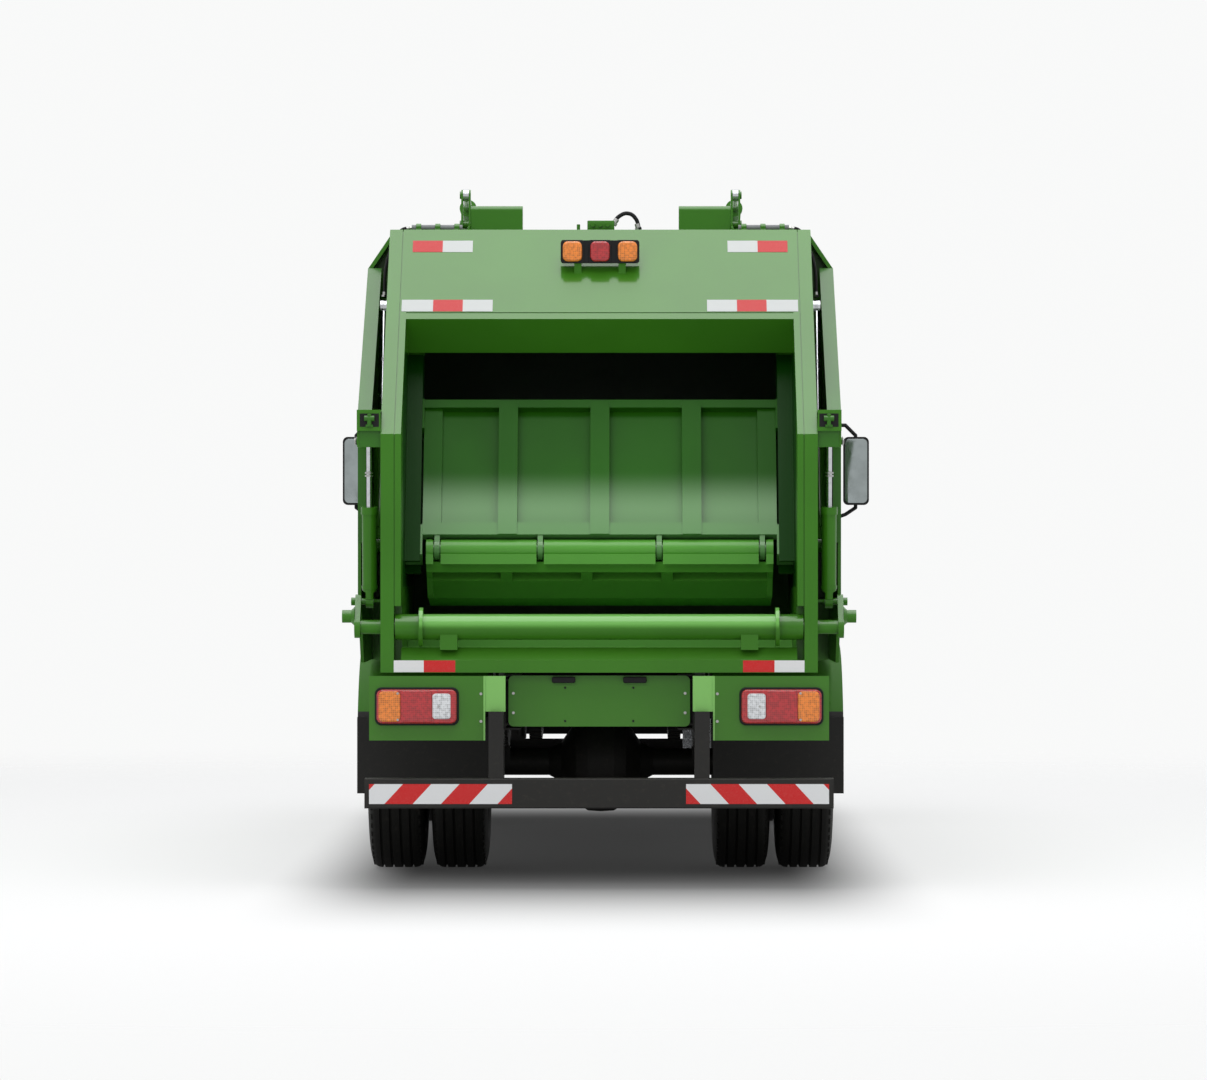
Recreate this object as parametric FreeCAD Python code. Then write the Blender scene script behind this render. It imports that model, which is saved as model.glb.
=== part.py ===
import FreeCAD, Part
import os
from math import asin, cos, degrees, pi, radians, sin, sqrt, tan

V = FreeCAD.Vector
X_AXIS = V(1, 0, 0)
Y_AXIS = V(0, 1, 0)
Z_AXIS = V(0, 0, 1)

# Rear-loading refuse truck. +Y is forward, +X is to the right, the floor is at Z = 0.
# All sizes are in millimetres.

# Whole truck
front_overhang = 1420.0
wheelbase = 4500.0
rear_overhang = 1780.0
front_y = (front_overhang + wheelbase + rear_overhang) / 2
rear_y = -front_y
front_axle_y = front_y - front_overhang
rear_axle_y = front_axle_y - wheelbase

# General clearances
move_gap = 5.0            # between pieces that move past each other
pin_gap = 0.1             # radial, between a pin and its eye
seat_gap = 0.3            # between curved faces that only rest on each other
face_gap = 0.5            # between flat faces that slide on each other

# Chassis frame
frame_half_width = 430.0
frame_top = 965.0
frame_height = 250.0
frame_flange = 75.0
frame_wall = 8.0
frame_front_y = front_y - 210.0
tow_bore_y = frame_front_y + 35.0
tow_bore_radius = 20.0
frame_rear_y = rear_y + 150.0
frame_bottom = frame_top - frame_height
member_inset = 80.0

# Wheels
tyre_radius = 509.0
tyre_width = 270.0
bead_radius = 258.0
rim_wall = 16.0
rim_width = 194.0
rim_flange = 17.0
twin_pitch = 302.0
rear_twin_x = frame_half_width + 392.0       # middle of the twin tyres
front_wheel_x = frame_half_width + 500.0
disc_offset = twin_pitch / 2
disc_thickness = 12.0
hand_hole_radius = 27.0
hand_hole_circle = 200.0
hand_holes = 8
hub_radius = 90.0
hub_flange_radius = 150.0
hub_cap_radius = 72.0
hub_cap_length = 62.0
drum_radius = 205.0
drum_wall = 15.0
drum_width = 150.0
spindle_radius = 45.0

# Tanks and boxes beside the frame
tank_length = 880.0
battery_length = 460.0
air_tank_length = 420.0

# Suspension and axles
leaf_width = 70.0
leaf_thickness = 11.0
front_spring_x = frame_half_width - leaf_width / 2 - 5
rear_spring_x = frame_half_width + leaf_width / 2 + 12
front_spring_half = 600.0
rear_spring_half = 690.0
front_spring_rise = 105.0
rear_spring_rise = 95.0
front_leaves = 5
rear_leaves = 8
spring_pin_radius = 12.0
front_spring_seat = 465.0
axle_tube_radius = 65.0
kingpin_x = frame_half_width + 350.0
kingpin_radius = 22.0
axle_boss_radius = 46.0
axle_boss_half_height = 52.0
tie_rod_reach = 190.0     # how far the steering arms reach behind the axle
tie_rod_radius = 16.0

# Load body
body_half_width = 1080.0
body_wall = 30.0
body_floor_z = frame_top + 135.0
body_height = 1900.0
body_top = body_floor_z + body_height
body_rear_y = rear_y + 1450.0
body_front_y = front_y - 2290.0
body_corner = 260.0
hoop_depth = 20.0
hoop_width = 80.0
hoop_count = 8

# Ejector plate inside the load body
ejector_rest_y = body_front_y - 230.0
ejector_thickness = 24.0
ejector_gap = 10.0

# Tailgate outline, from the side
joint_gap = 5.0
gate_front_y = body_rear_y - joint_gap
gate_rear_y = rear_y + 70.0
gate_top = body_top + 30.0
slope_bend_z = gate_top - 980.0
slope_top_y = gate_rear_y + (gate_top - slope_bend_z)
mouth_top_z = gate_top - 438.0
mouth_strip = 28.0         # inner frame of the mouth, up the slope
seam = 4.0
seam_depth = 6.0
column_inner_x = body_half_width - 155.0
column_outer_x = column_inner_x + 60.0
column_depth = 160.0
gate_inner_x = column_inner_x - 32.0
sill_bottom = frame_top + 10.0
sill_top = sill_bottom + 56.0
sill_depth = 80.0
ledge_z = sill_top + 56.0
gate_roof = 40.0
side_plate_x = body_half_width + hoop_depth
side_plate_thickness = 15.0
side_plate_rear_y = rear_y + 330.0
side_plate_bend_z = slope_bend_z + 110.0
side_plate_top_z = gate_top - 170.0
side_plate_bottom = sill_bottom + 35.0

# Tailgate hinge and its lift cylinders on the roof
hinge_y = body_rear_y + 30.0
hinge_z = gate_top + 50.0
hinge_pin_radius = 20.0
hinge_ear_radius = 37.0
hinge_block_inner_x = 372.0
lever_x = 642.0
lever_plate = 9.0
lever_arm = 140.0
lift_eye_width = 26.0
lift_base_y = body_rear_y + 950.0
lift_base_z = body_top + 105.0
lift_barrel_radius = 36.0
lift_barrel_length = 600.0
lift_rod_radius = 19.0

# Packer: a carriage on slanted rails with a sweeping blade at its foot
pivot_y = gate_rear_y + 500.0
pivot_z = sill_top + 499.0
rail_angle = radians(66.0)
blade_reach = 520.0
blade_rest = radians(-29.0)
trough_gap = 8.0
trough_wall = 10.0
packer_travel = 550.0
rail_bar = 15.0
shoe_half = 60.0
shoe_length = 150.0
carriage_half_width = gate_inner_x - 78.0
carriage_length = 740.0
carriage_plate = 12.0
rib_width = 88.0
rib_depth = 58.0
rib_x = 424.0
rail_x = carriage_half_width + 8.0

# Packer slide cylinders, in the pockets outside the mouth columns
slide_cylinder_x = side_plate_x - 86.0
slide_rod_radius = 20.0
slide_barrel_radius = 41.0
slide_barrel_length = 620.0
slide_rod_shown = 600.0
slide_pin_radius = 22.0
slide_pin_s = 27.0
neck_length = 60.0         # thinner end of a rod whose eye stands between plates

# Tipper: a torque tube across the sill, turned by two cranks
tube_y = gate_rear_y + 55.0
tube_z = sill_top + 149.0
tube_radius = 58.0
tube_shaft_radius = 32.0
crank_arm = 145.0
crank_rest = radians(52.0)
crank_x = side_plate_x - 22.0
crank_thickness = 26.0
tipper_cylinder_x = side_plate_x - 60.0
tipper_barrel_radius = 33.0
tipper_barrel_length = 430.0
tipper_rod_radius = 12.0
tipper_eye_width = 34.0
tipper_top_y = gate_rear_y + 80.0
tipper_top_z = tube_z + 840.0
crank_pin_radius = 16.0
skip_pin_radius = 29.0
skip_pin_length = 56.0

# Cab
cab_half_width = 1140.0
cab_wall = 45.0
cab_rear_y = body_front_y + 290.0
tank_front_y = cab_rear_y - 210.0
cab_front_y = front_y - 50.0
cab_bottom = frame_top + 35.0
cab_height = 1720.0
cab_top = cab_bottom + cab_height
cab_hinge_y = cab_front_y - 100.0
cab_hinge_z = frame_top + 20.0
cab_pin_radius = 16.0
arch_radius = 625.0
door_front_y = cab_front_y - 210.0
door_length = 800.0
door_rear_y = door_front_y - door_length
door_bottom = cab_bottom + 85.0
door_top = cab_top - 160.0
door_gap = 6.0
window_bottom = cab_bottom + 780.0
mirror_x = cab_half_width + 330.0
mirror_y = cab_front_y - 240.0
mirror_z = cab_bottom + 1000.0
mirror_height = 400.0
mirror_width = 150.0
cab_floor = cab_bottom + 150.0
waist_z = cab_bottom + 720.0       # foot of the leaning windscreen
screen_low = waist_z + 55.0
screen_high = waist_z + 705.0
roof_seam_z = door_top
grille_half = cab_half_width - 426.0
grille_low = cab_bottom + 136.0
grille_high = cab_bottom + 604.0
tunnel_half = frame_half_width - 68.0
tunnel_wall = 32.0
tunnel_front = cab_front_y - 460.0
tunnel_top = frame_top + 407.0
driver_x = cab_half_width - 405.0
screen_half = cab_half_width - 155.0

# Rear bumper, lamps and mudguards
bumper_low = frame_top - 515.0     # underside of the front bumper
head_lamp_x = cab_half_width - 420.0
bumper_half_width = 1054.0
bumper_bottom = 366.0
bumper_top = 501.0
bumper_depth = 90.0
post_width = 67.0
post_wall = 10.0
post_top = 800.0
channel_lip = 8.0
lamp_panel_inner_x = frame_half_width + 83.0
lamp_panel_outer_x = bumper_half_width - 19.0
lamp_panel_bottom = 670.0
lamp_panel_top = frame_top - 5.0
lamp_inner_x = 640.0
lamp_outer_x = 1000.0
lamp_bottom = 747.0
lamp_top = 900.0
lamp_depth = 52.0
mudguard_inner_x = rear_twin_x - 292.0
mudguard_outer_x = rear_twin_x + 326.0
mudguard_radius = 560.0
mudguard_wall = 6.0
flap_top = 740.0
flap_bottom = 380.0


def block(x0, x1, y0, y1, z0, z1):
    return Part.makeBox(x1 - x0, y1 - y0, z1 - z0, V(x0, y0, z0))


def rod_between(a, b, radius):
    return Part.makeCylinder(radius, (b - a).Length, a, b - a)


def cross_rod(x0, x1, y, z, radius):
    return Part.makeCylinder(radius, x1 - x0, V(x0, y, z), X_AXIS)


def side_prism(points, x0, x1):
    """A side outline, given as (y, z) points, pushed from x0 to x1."""
    corners = [V(x0, y, z) for y, z in points]
    wire = Part.makePolygon(corners + [corners[0]])
    return Part.Face(wire).extrude(V(x1 - x0, 0, 0))


def plan_prism(points, z0, z1):
    """A plan outline, given as (x, y) points, pushed from z0 to z1."""
    corners = [V(x, y, z0) for x, y in points]
    wire = Part.makePolygon(corners + [corners[0]])
    return Part.Face(wire).extrude(V(0, 0, z1 - z0))


def front_prism(points, y0, y1):
    """A front outline, given as (x, z) points, pushed from y0 to y1."""
    corners = [V(x, y0, z) for x, z in points]
    wire = Part.makePolygon(corners + [corners[0]])
    return Part.Face(wire).extrude(V(0, y1 - y0, 0))


def ring(x0, x1, y, z, inner, outer):
    return cross_rod(x0, x1, y, z, outer).cut(cross_rod(x0 - 1, x1 + 1, y, z, inner))


def mirrored(shape):
    return shape.mirror(V(0, 0, 0), X_AXIS)


def fused(*shapes):
    solid = shapes[0]
    if len(shapes) > 1:
        solid = shapes[0].multiFuse(list(shapes[1:]))
    return solid.removeSplitter()


def both_sides(shape):
    return Part.makeCompound([shape, mirrored(shape)])


def save(node, shape):
    shape.exportStep(os.path.join("parts", node + ".step"))


def rounded(shape, radius, wanted):
    """Fillets the edges for which wanted(edge) is true."""
    edges = [edge for edge in shape.Edges if wanted(edge)]
    return shape.makeFillet(radius, edges)


def runs_along(axis):
    def wanted(edge):
        if not isinstance(edge.Curve, Part.Line):
            return False
        return abs(abs(edge.tangentAt(edge.FirstParameter).dot(axis)) - 1) < 1e-6
    return wanted


def rounded_block(x0, x1, y0, y1, z0, z1, radius, axis):
    return rounded(block(x0, x1, y0, y1, z0, z1), radius, runs_along(axis))


# Wheels

def tyre(centre_x, axle_y):
    """One tyre as a turned ring: crown, shoulders, bulging sidewalls and beads, in straight runs."""
    half = tyre_width / 2
    bead_x = rim_width / 2 - 13
    flange_r = bead_radius + rim_flange + 10
    right = [(bead_radius, bead_x), (flange_r, bead_x), (375, half), (tyre_radius - 45, half - 5),
             (tyre_radius - 2, half - 36)]
    left = [(radius, -x) for radius, x in reversed(right)]
    corners = [V(centre_x + x, axle_y, tyre_radius + radius) for radius, x in right + [(tyre_radius, 0)] + left]
    wire = Part.makePolygon(corners + [corners[0]])
    return Part.Face(wire).revolve(V(0, axle_y, tyre_radius), X_AXIS, 360)


def rim(centre_x, axle_y, side):
    """Rim well, flanges and dished disc; the disc's bolting face is on the given side."""
    outer = bead_radius - seat_gap
    inner = outer - rim_wall
    half = rim_width / 2
    flange = 9.0
    face = side * disc_offset
    back = face - side * disc_thickness
    def at(radius, x):
        return V(centre_x + x, axle_y, tyre_radius + radius)
    well = [at(inner, -half), at(outer + rim_flange, -half), at(outer + rim_flange, -half + flange),
            at(outer, -half + flange), at(outer, half - flange), at(outer + rim_flange, half - flange),
            at(outer + rim_flange, half), at(inner, half)]
    dish = [at(inner + 1, side * 40), at(inner + 1, side * 66), at(182, face), at(hub_cap_radius, face),
            at(hub_cap_radius, back), at(176, back)]
    solids = []
    for corners in (well, dish):
        face_shape = Part.Face(Part.makePolygon(corners + [corners[0]]))
        solids.append(face_shape.revolve(V(0, axle_y, tyre_radius), X_AXIS, 360))
    solid = fused(*solids)
    for index in range(hand_holes):
        turn = 2 * pi * index / hand_holes
        y = axle_y + hand_hole_circle * sin(turn)
        z = tyre_radius + hand_hole_circle * cos(turn)
        low = min(centre_x + side * 20, centre_x + side * 200)
        solid = solid.cut(cross_rod(low, low + 180, y, z, hand_hole_radius))
    return solid


def hub(face_x, axle_y):
    """Hub and brake drum for a right wheel whose disc bolts on at face_x."""
    flange_x = face_x - 20
    barrel = cross_rod(face_x - 175, face_x, axle_y, tyre_radius, hub_radius)
    flange = cross_rod(flange_x, face_x, axle_y, tyre_radius, hub_flange_radius)
    drum_outer = flange_x - 12
    web = cross_rod(drum_outer - 12, drum_outer, axle_y, tyre_radius, drum_radius)
    shell = ring(drum_outer - drum_width, drum_outer, axle_y, tyre_radius, drum_radius - drum_wall, drum_radius)
    cap = cross_rod(face_x - 1, face_x + hub_cap_length, axle_y, tyre_radius, hub_cap_radius - 1)
    cap = cap.makeChamfer(12, [edge for edge in cap.Edges
                               if abs(edge.BoundBox.XMin - face_x - hub_cap_length) < 1e-6
                               and abs(edge.BoundBox.XMax - face_x - hub_cap_length) < 1e-6])
    solid = fused(barrel, flange, web, shell, cap)
    return solid.cut(cross_rod(face_x - 200, face_x - 15, axle_y, tyre_radius, spindle_radius + pin_gap))


def make_wheels():
    front_face = front_wheel_x + disc_offset - disc_thickness
    front_tyre = tyre(front_wheel_x, front_axle_y)
    front_rim = fused(rim(front_wheel_x, front_axle_y, 1), hub(front_face, front_axle_y))
    inner_x = rear_twin_x - disc_offset
    outer_x = rear_twin_x + disc_offset
    rear_tyres = Part.makeCompound([tyre(inner_x, rear_axle_y), tyre(outer_x, rear_axle_y)])
    rear_rims = fused(rim(inner_x, rear_axle_y, 1), rim(outer_x, rear_axle_y, -1),
                      hub(rear_twin_x - disc_thickness, rear_axle_y))
    save("tyre_front_right", front_tyre)
    save("tyre_front_left", mirrored(front_tyre))
    save("rim_front_right", front_rim)
    save("rim_front_left", mirrored(front_rim))
    save("tyres_rear_right", rear_tyres)
    save("tyres_rear_left", mirrored(rear_tyres))
    save("rims_rear_right", rear_rims)
    save("rims_rear_left", mirrored(rear_rims))


# Axles, knuckles and springs

def make_front_axle():
    """Dropped I-beam between the kingpins, and the rear axle housing with its round gear case."""
    top = front_spring_seat
    end_top = tyre_radius + 42
    end_bottom = tyre_radius - 42
    outline = [(-kingpin_x + 20, end_bottom), (-620, end_bottom), (-520, top - 95), (520, top - 95),
               (620, end_bottom), (kingpin_x - 20, end_bottom), (kingpin_x - 20, end_top), (600, end_top),
               (500, top), (-500, top), (-600, end_top), (-kingpin_x + 20, end_top)]
    beam = front_prism(outline, front_axle_y - 45, front_axle_y + 45)
    recess = [(-510, top - 80), (510, top - 80), (590, end_bottom + 12), (690, end_bottom + 12),
              (690, end_top - 14), (606, end_top - 14), (500, top - 14), (-500, top - 14),
              (-606, end_top - 14), (-690, end_top - 14), (-690, end_bottom + 12), (-590, end_bottom + 12)]
    web_half = 9
    beam = beam.cut(front_prism(recess, front_axle_y - 46, front_axle_y - web_half))
    beam = beam.cut(front_prism(recess, front_axle_y + web_half, front_axle_y + 46))
    for x in (-kingpin_x, kingpin_x):
        low = V(x, front_axle_y, tyre_radius - axle_boss_half_height)
        boss = Part.makeCylinder(axle_boss_radius, 2 * axle_boss_half_height, low)
        bore = Part.makeCylinder(kingpin_radius + pin_gap, 2 * axle_boss_half_height + 2, low - V(0, 0, 1))
        beam = fused(beam, boss).cut(bore)
    save("front_axle", beam)


def make_rear_axle():
    def at(x, radius):
        return V(x, rear_axle_y, tyre_radius + radius)
    spindle_end = rear_twin_x - disc_thickness - 20
    flange_x = rear_twin_x - disc_thickness - 20 - 12 - drum_width - 12
    right = [at(0, 0), at(0, 240), at(62, 236), at(120, 200), at(190, 96), at(250, axle_tube_radius),
             at(flange_x, axle_tube_radius), at(flange_x, 120), at(flange_x + 10, 120),
             at(flange_x + 10, spindle_radius), at(spindle_end, spindle_radius), at(spindle_end, 0)]
    half = Part.Face(Part.makePolygon(right + [right[0]])).revolve(V(0, rear_axle_y, tyre_radius), X_AXIS, 360)
    nose = Part.makeCone(165, 72, 300, V(0, rear_axle_y + 100, tyre_radius), Y_AXIS)
    flange = Part.makeCylinder(80, 25, V(0, rear_axle_y + 400, tyre_radius), Y_AXIS)
    pads = []
    for x in (-rear_spring_x, rear_spring_x):
        pads.append(block(x - 40, x + 40, rear_axle_y - 70, rear_axle_y + 70, tyre_radius, tyre_radius + 72))
    save("rear_axle", fused(half, mirrored(half), nose, flange, *pads))


def knuckle():
    """Right steering knuckle: forked ears round the axle's boss, kingpin, spindle and brake plate."""
    z0 = tyre_radius - axle_boss_half_height - face_gap
    z1 = tyre_radius + axle_boss_half_height + face_gap
    ear = 34.0
    at = V(kingpin_x, front_axle_y, 0)
    lower = Part.makeCylinder(axle_boss_radius, ear, at + V(0, 0, z0 - ear))
    upper = Part.makeCylinder(axle_boss_radius, ear, at + V(0, 0, z1))
    pin = Part.makeCylinder(kingpin_radius, z1 - z0 + 2 * ear, at + V(0, 0, z0 - ear))
    web_x = kingpin_x + axle_boss_radius + move_gap
    web = block(web_x, web_x + 26, front_axle_y - 46, front_axle_y + 46, z0 - ear, z1 + ear)
    lower_arm = block(kingpin_x, web_x + 1, front_axle_y - 40, front_axle_y + 40, z0 - ear, z0)
    upper_arm = block(kingpin_x, web_x + 1, front_axle_y - 40, front_axle_y + 40, z1, z1 + ear)
    face = front_wheel_x + disc_offset - disc_thickness
    spindle = cross_rod(web_x, face - 20, front_axle_y, tyre_radius, spindle_radius)
    plate_x = face - 20 - 12 - drum_width - 14
    plate = cross_rod(plate_x, plate_x + 8, front_axle_y, tyre_radius, drum_radius - 8)
    arm_points = [(kingpin_x - 35, front_axle_y), (kingpin_x - 22, front_axle_y - tie_rod_reach),
                  (kingpin_x + 22, front_axle_y - tie_rod_reach), (kingpin_x + 35, front_axle_y)]
    arm = plan_prism(arm_points, z0 - ear, z0 - ear + 22)
    ball = Part.makeCylinder(25, 22, at + V(0, -tie_rod_reach, z0 - ear))
    return fused(lower, upper, pin, web, lower_arm, upper_arm, spindle, plate, arm, ball)


def make_steering():
    right = knuckle()
    save("knuckle_right", right)
    save("knuckle_left", mirrored(right))
    rod_z = tyre_radius - axle_boss_half_height - face_gap - 34 - face_gap - 18
    y = front_axle_y - tie_rod_reach
    bar = cross_rod(-kingpin_x, kingpin_x, y, rod_z, tie_rod_radius)
    ends = [Part.makeCylinder(25, 36, V(x, y, rod_z - 18)) for x in (-kingpin_x, kingpin_x)]
    save("tie_rod", fused(bar, *ends))


def leaf_pack(x, axle_y, seat_z, half_length, rise, leaves):
    """Curved leaves, each shorter than the one above it, with rolled eyes on the main leaf."""
    bend = (half_length ** 2 + rise ** 2) / (2 * rise)
    main_bottom = seat_z + (leaves - 1) * leaf_thickness
    centre = V(x - leaf_width / 2, axle_y, main_bottom + bend)
    solids = []
    for index in range(leaves):
        outer = bend + index * leaf_thickness
        inner = outer - leaf_thickness
        reach = half_length * (1 - 0.8 * index / leaves)
        half_turn = asin(reach / bend)
        solids.append(arc_strip(centre, inner, outer, -pi / 2 - half_turn, -pi / 2 + half_turn, leaf_width))
    eye_z = centre.z - (bend - leaf_thickness) * cos(asin(half_length / bend)) + 12
    for y in (axle_y - half_length, axle_y + half_length):
        solids.append(cross_rod(x - leaf_width / 2, x + leaf_width / 2, y, eye_z, 26))
    pack = fused(*solids)
    for y in (axle_y - half_length, axle_y + half_length):
        pack = pack.cut(cross_rod(x - leaf_width, x + leaf_width, y, eye_z, spring_pin_radius + pin_gap))
    return pack, eye_z


def arc_strip(centre, inner, outer, start, end, width):
    """Part of a flat ring standing in the Y-Z plane, pushed along X."""
    def at(radius, turn):
        return centre + V(0, radius * cos(turn), radius * sin(turn))
    middle = (start + end) / 2
    long_arc = Part.Arc(at(outer, start), at(outer, middle), at(outer, end)).toShape()
    short_arc = Part.Arc(at(inner, end), at(inner, middle), at(inner, start)).toShape()
    wire = Part.Wire([long_arc, Part.makeLine(at(outer, end), at(inner, end)), short_arc,
                      Part.makeLine(at(inner, start), at(outer, start))])
    return Part.Face(wire).extrude(V(width, 0, 0))


def make_springs():
    front, front_eye = leaf_pack(front_spring_x, front_axle_y, front_spring_seat, front_spring_half,
                                 front_spring_rise, front_leaves)
    rear, rear_eye = leaf_pack(rear_spring_x, rear_axle_y, tyre_radius + 72, rear_spring_half,
                               rear_spring_rise, rear_leaves)
    save("leaf_springs", Part.makeCompound([front, mirrored(front), rear, mirrored(rear)]))
    return front_eye, rear_eye


# Frame, drive and what hangs on the frame

def make_frame(front_eye, rear_eye):
    outer = frame_half_width
    web = block(outer - frame_wall, outer, frame_rear_y, frame_front_y, frame_bottom, frame_top)
    top = block(outer - frame_flange, outer, frame_rear_y, frame_front_y, frame_top - frame_wall, frame_top)
    low = block(outer - frame_flange, outer, frame_rear_y, frame_front_y, frame_bottom, frame_bottom + frame_wall)
    solids = [web, top, low]
    ear = 12.0
    pairs = [(front_axle_y, front_spring_half, front_spring_x, front_eye),
             (rear_axle_y, rear_spring_half, rear_spring_x, rear_eye)]
    for axle_y, half, x, eye_z in pairs:
        for y in (axle_y - half, axle_y + half):
            for low_x in (x - leaf_width / 2 - ear - face_gap, x + leaf_width / 2 + face_gap):
                low_z = eye_z - 34
                solids.append(side_prism([(y - 34, low_z), (y + 34, low_z), (y + 60, frame_top - 20),
                                          (y - 60, frame_top - 20)], low_x, low_x + ear))
            reach = leaf_width / 2 + ear + face_gap
            solids.append(cross_rod(x - reach, x + reach, y, eye_z, spring_pin_radius))
    bracket_top = frame_top - 30
    for y in (rear_axle_y - rear_spring_half, rear_axle_y + rear_spring_half):
        solids.append(block(outer - 2, rear_spring_x + leaf_width / 2 + ear, y - 50, y + 50, bracket_top - 12, bracket_top))
    side = fused(*solids)
    members = []
    front_bay = cab_rear_y - 70
    rear_bay = rear_axle_y + 870
    bays = [front_bay + (rear_bay - front_bay) * index / 3 for index in range(4)]
    for y in [frame_front_y - member_inset] + bays + [rear_axle_y - 830, frame_rear_y + 46]:
        plate = block(-outer + frame_wall, outer - frame_wall, y - 5, y + 5, frame_bottom + 20, frame_top - 20)
        upper = block(-outer + frame_wall, outer - frame_wall, y - 45, y + 5, frame_top - 30, frame_top - 20)
        lower = block(-outer + frame_wall, outer - frame_wall, y - 45, y + 5, frame_bottom + 20, frame_bottom + 30)
        members += [plate, upper, lower]
    ear_x = frame_half_width - 32
    ear_outline = [(cab_hinge_y - 260, frame_top - 60), (cab_hinge_y - 260, frame_top), (cab_hinge_y - 60, frame_top + 8),
                   (cab_hinge_y - 34, cab_hinge_z + 24), (cab_hinge_y, cab_hinge_z + 24),
                   (cab_hinge_y + 30, cab_hinge_z), (cab_hinge_y, frame_top - 60)]
    cab_ear = side_prism(ear_outline, ear_x, ear_x + 22)
    cab_pin = cross_rod(ear_x, ear_x + 64, cab_hinge_y, cab_hinge_z, cab_pin_radius)
    half = fused(side, cab_ear, cab_pin)
    save("chassis_frame", fused(half, mirrored(half), *members))


def make_tow_jaw():
    """Block on the front cross member, bored upright for the tow pin."""
    seat = frame_front_y - member_inset + 5
    jaw = block(-50, 50, seat, tow_bore_y + 50, frame_bottom + 20, frame_bottom + 60)
    save("tow_jaw", jaw.cut(Part.makeCylinder(tow_bore_radius, 80, V(0, tow_bore_y, frame_bottom))))


def make_driveline():
    """Engine and gearbox as plain blocks at their real places, and the shaft to the rear axle."""
    engine_rear = cab_rear_y + 500
    engine_front = cab_front_y - 500
    gearbox_rear = cab_rear_y - 10
    engine_half = frame_half_width - 100
    engine = block(-engine_half, engine_half, engine_rear, engine_front, frame_bottom - 75, tunnel_top - 42)
    gearbox = block(-190, 190, gearbox_rear, engine_rear + 1, frame_bottom - 115, frame_top + 15)
    start = V(0, gearbox_rear + 1, frame_bottom - 47)
    middle = V(0, 0, frame_bottom - 65)
    end = V(0, rear_axle_y + 425 + face_gap, tyre_radius)
    tail = block(-90, 90, -30, 30, frame_bottom - 135, frame_bottom + 30)
    front_shaft = rod_between(start, middle, 52)
    rear_shaft = rod_between(middle, end + V(0, 60, 6), 45)
    joint = Part.makeCylinder(70, 60, end, Y_AXIS)
    inner = frame_half_width - frame_wall
    carrier = block(-inner, inner, -30, 30, frame_bottom + 8, frame_bottom + 40)
    mounts = [block(-inner, inner, y - 40, y + 40, frame_top - 135, frame_top - 85)
              for y in (engine_rear + 100, engine_front - 150)]
    save("engine_and_driveline", fused(engine, gearbox, front_shaft, rear_shaft, joint, tail, carrier, *mounts))


def make_fuel_tank():
    """Tank with rounded edges on two brackets, held by straps, outside the right rail."""
    x0 = frame_half_width + 60
    x1 = x0 + 560
    y0, y1 = tank_front_y - tank_length, tank_front_y
    z0, z1 = frame_bottom - 245, frame_top - 15
    tank = rounded_block(x0, x1, y0, y1, z0, z1, 90, Y_AXIS)
    neck = Part.makeCylinder(42, 60, V(x1 - 120, y1 - 130, z1 - 20))
    solids = [tank, neck]
    strap = 6.0
    for y in (y0 + 170, y1 - 230):
        band = rounded_block(x0 - strap, x1 + strap, y, y + 60, z0 - strap, z1 + strap, 94, Y_AXIS)
        solids.append(band)
        solids.append(side_prism([(y, frame_top - 30), (y, z0 - 4), (y + 60, z0 - 4), (y + 60, frame_top - 30)],
                                 frame_half_width, x0 + 40))
        solids.append(block(frame_half_width, x1 - 110, y, y + 60, z0 - 34, z0 - 4))
    save("fuel_tank", fused(*solids))


def make_battery_and_air_tanks():
    """Left side: the battery box, and two air tanks one behind the other."""
    x0, x1 = -frame_half_width - 560, -frame_half_width - 20
    y0, y1 = tank_front_y - battery_length, tank_front_y
    z0, z1 = frame_bottom - 195, frame_top - 65
    battery = rounded_block(x0, x1, y0, y1, z0, z1, 24, Z_AXIS)
    lid = rounded_block(x0 - 8, x1 + 8, y0 - 8, y1 + 8, z1 - 40, z1 + 8, 28, Z_AXIS)
    shelf = block(x0, -frame_half_width, y0 + 20, y1 - 20, z0 - 20, z0 + 1)
    hanger = block(-frame_half_width - 30, -frame_half_width, y0 + 40, y1 - 40, z0 - 20, frame_top - 30)
    solids = [fused(battery, lid, shelf, hanger)]
    radius = 125.0
    x = -frame_half_width - radius - 40
    z = frame_bottom + 25
    for index in range(2):
        y = y0 - 60 - air_tank_length - index * (air_tank_length + 100)
        tank = Part.makeCylinder(radius, air_tank_length, V(x, y, z), Y_AXIS)
        tank = tank.makeChamfer(36, [edge for edge in tank.Edges if isinstance(edge.Curve, Part.Circle)])
        pieces = [tank]
        for strap_y in (y + 90, y + 290):
            pieces.append(Part.makeCylinder(radius + 5, 40, V(x, strap_y, z), Y_AXIS))
            pieces.append(block(x, -frame_half_width, strap_y, strap_y + 40, z - 40, z + 40))
        solids.append(fused(*pieces))
    save("battery_box_and_air_tanks", Part.makeCompound(solids))


def make_side_guards():
    """Three rails a side on posts, ahead of the rear wheels."""
    outer = mudguard_outer_x - 20
    rear = rear_axle_y + mudguard_radius + 90
    low = frame_bottom - 245
    def guard(front):
        solids = []
        for z in (low, low + 220, low + 430):
            solids.append(rounded_block(outer - 26, outer, rear, front, z, z + 90, 10, Y_AXIS))
        for y in (rear + 160, (rear + front) / 2, front - 200):
            solids.append(block(outer - 76, outer - 25, y, y + 50, low, low + 520))
            solids.append(block(frame_half_width, outer - 40, y, y + 50, low + 430, low + 480))
        return fused(*solids)
    right = guard(tank_front_y - tank_length - 60)
    left = guard(tank_front_y - battery_length - 2 * air_tank_length - 220)
    save("side_guards", Part.makeCompound([right, mirrored(left)]))


# Rear end below the tailgate

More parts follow.
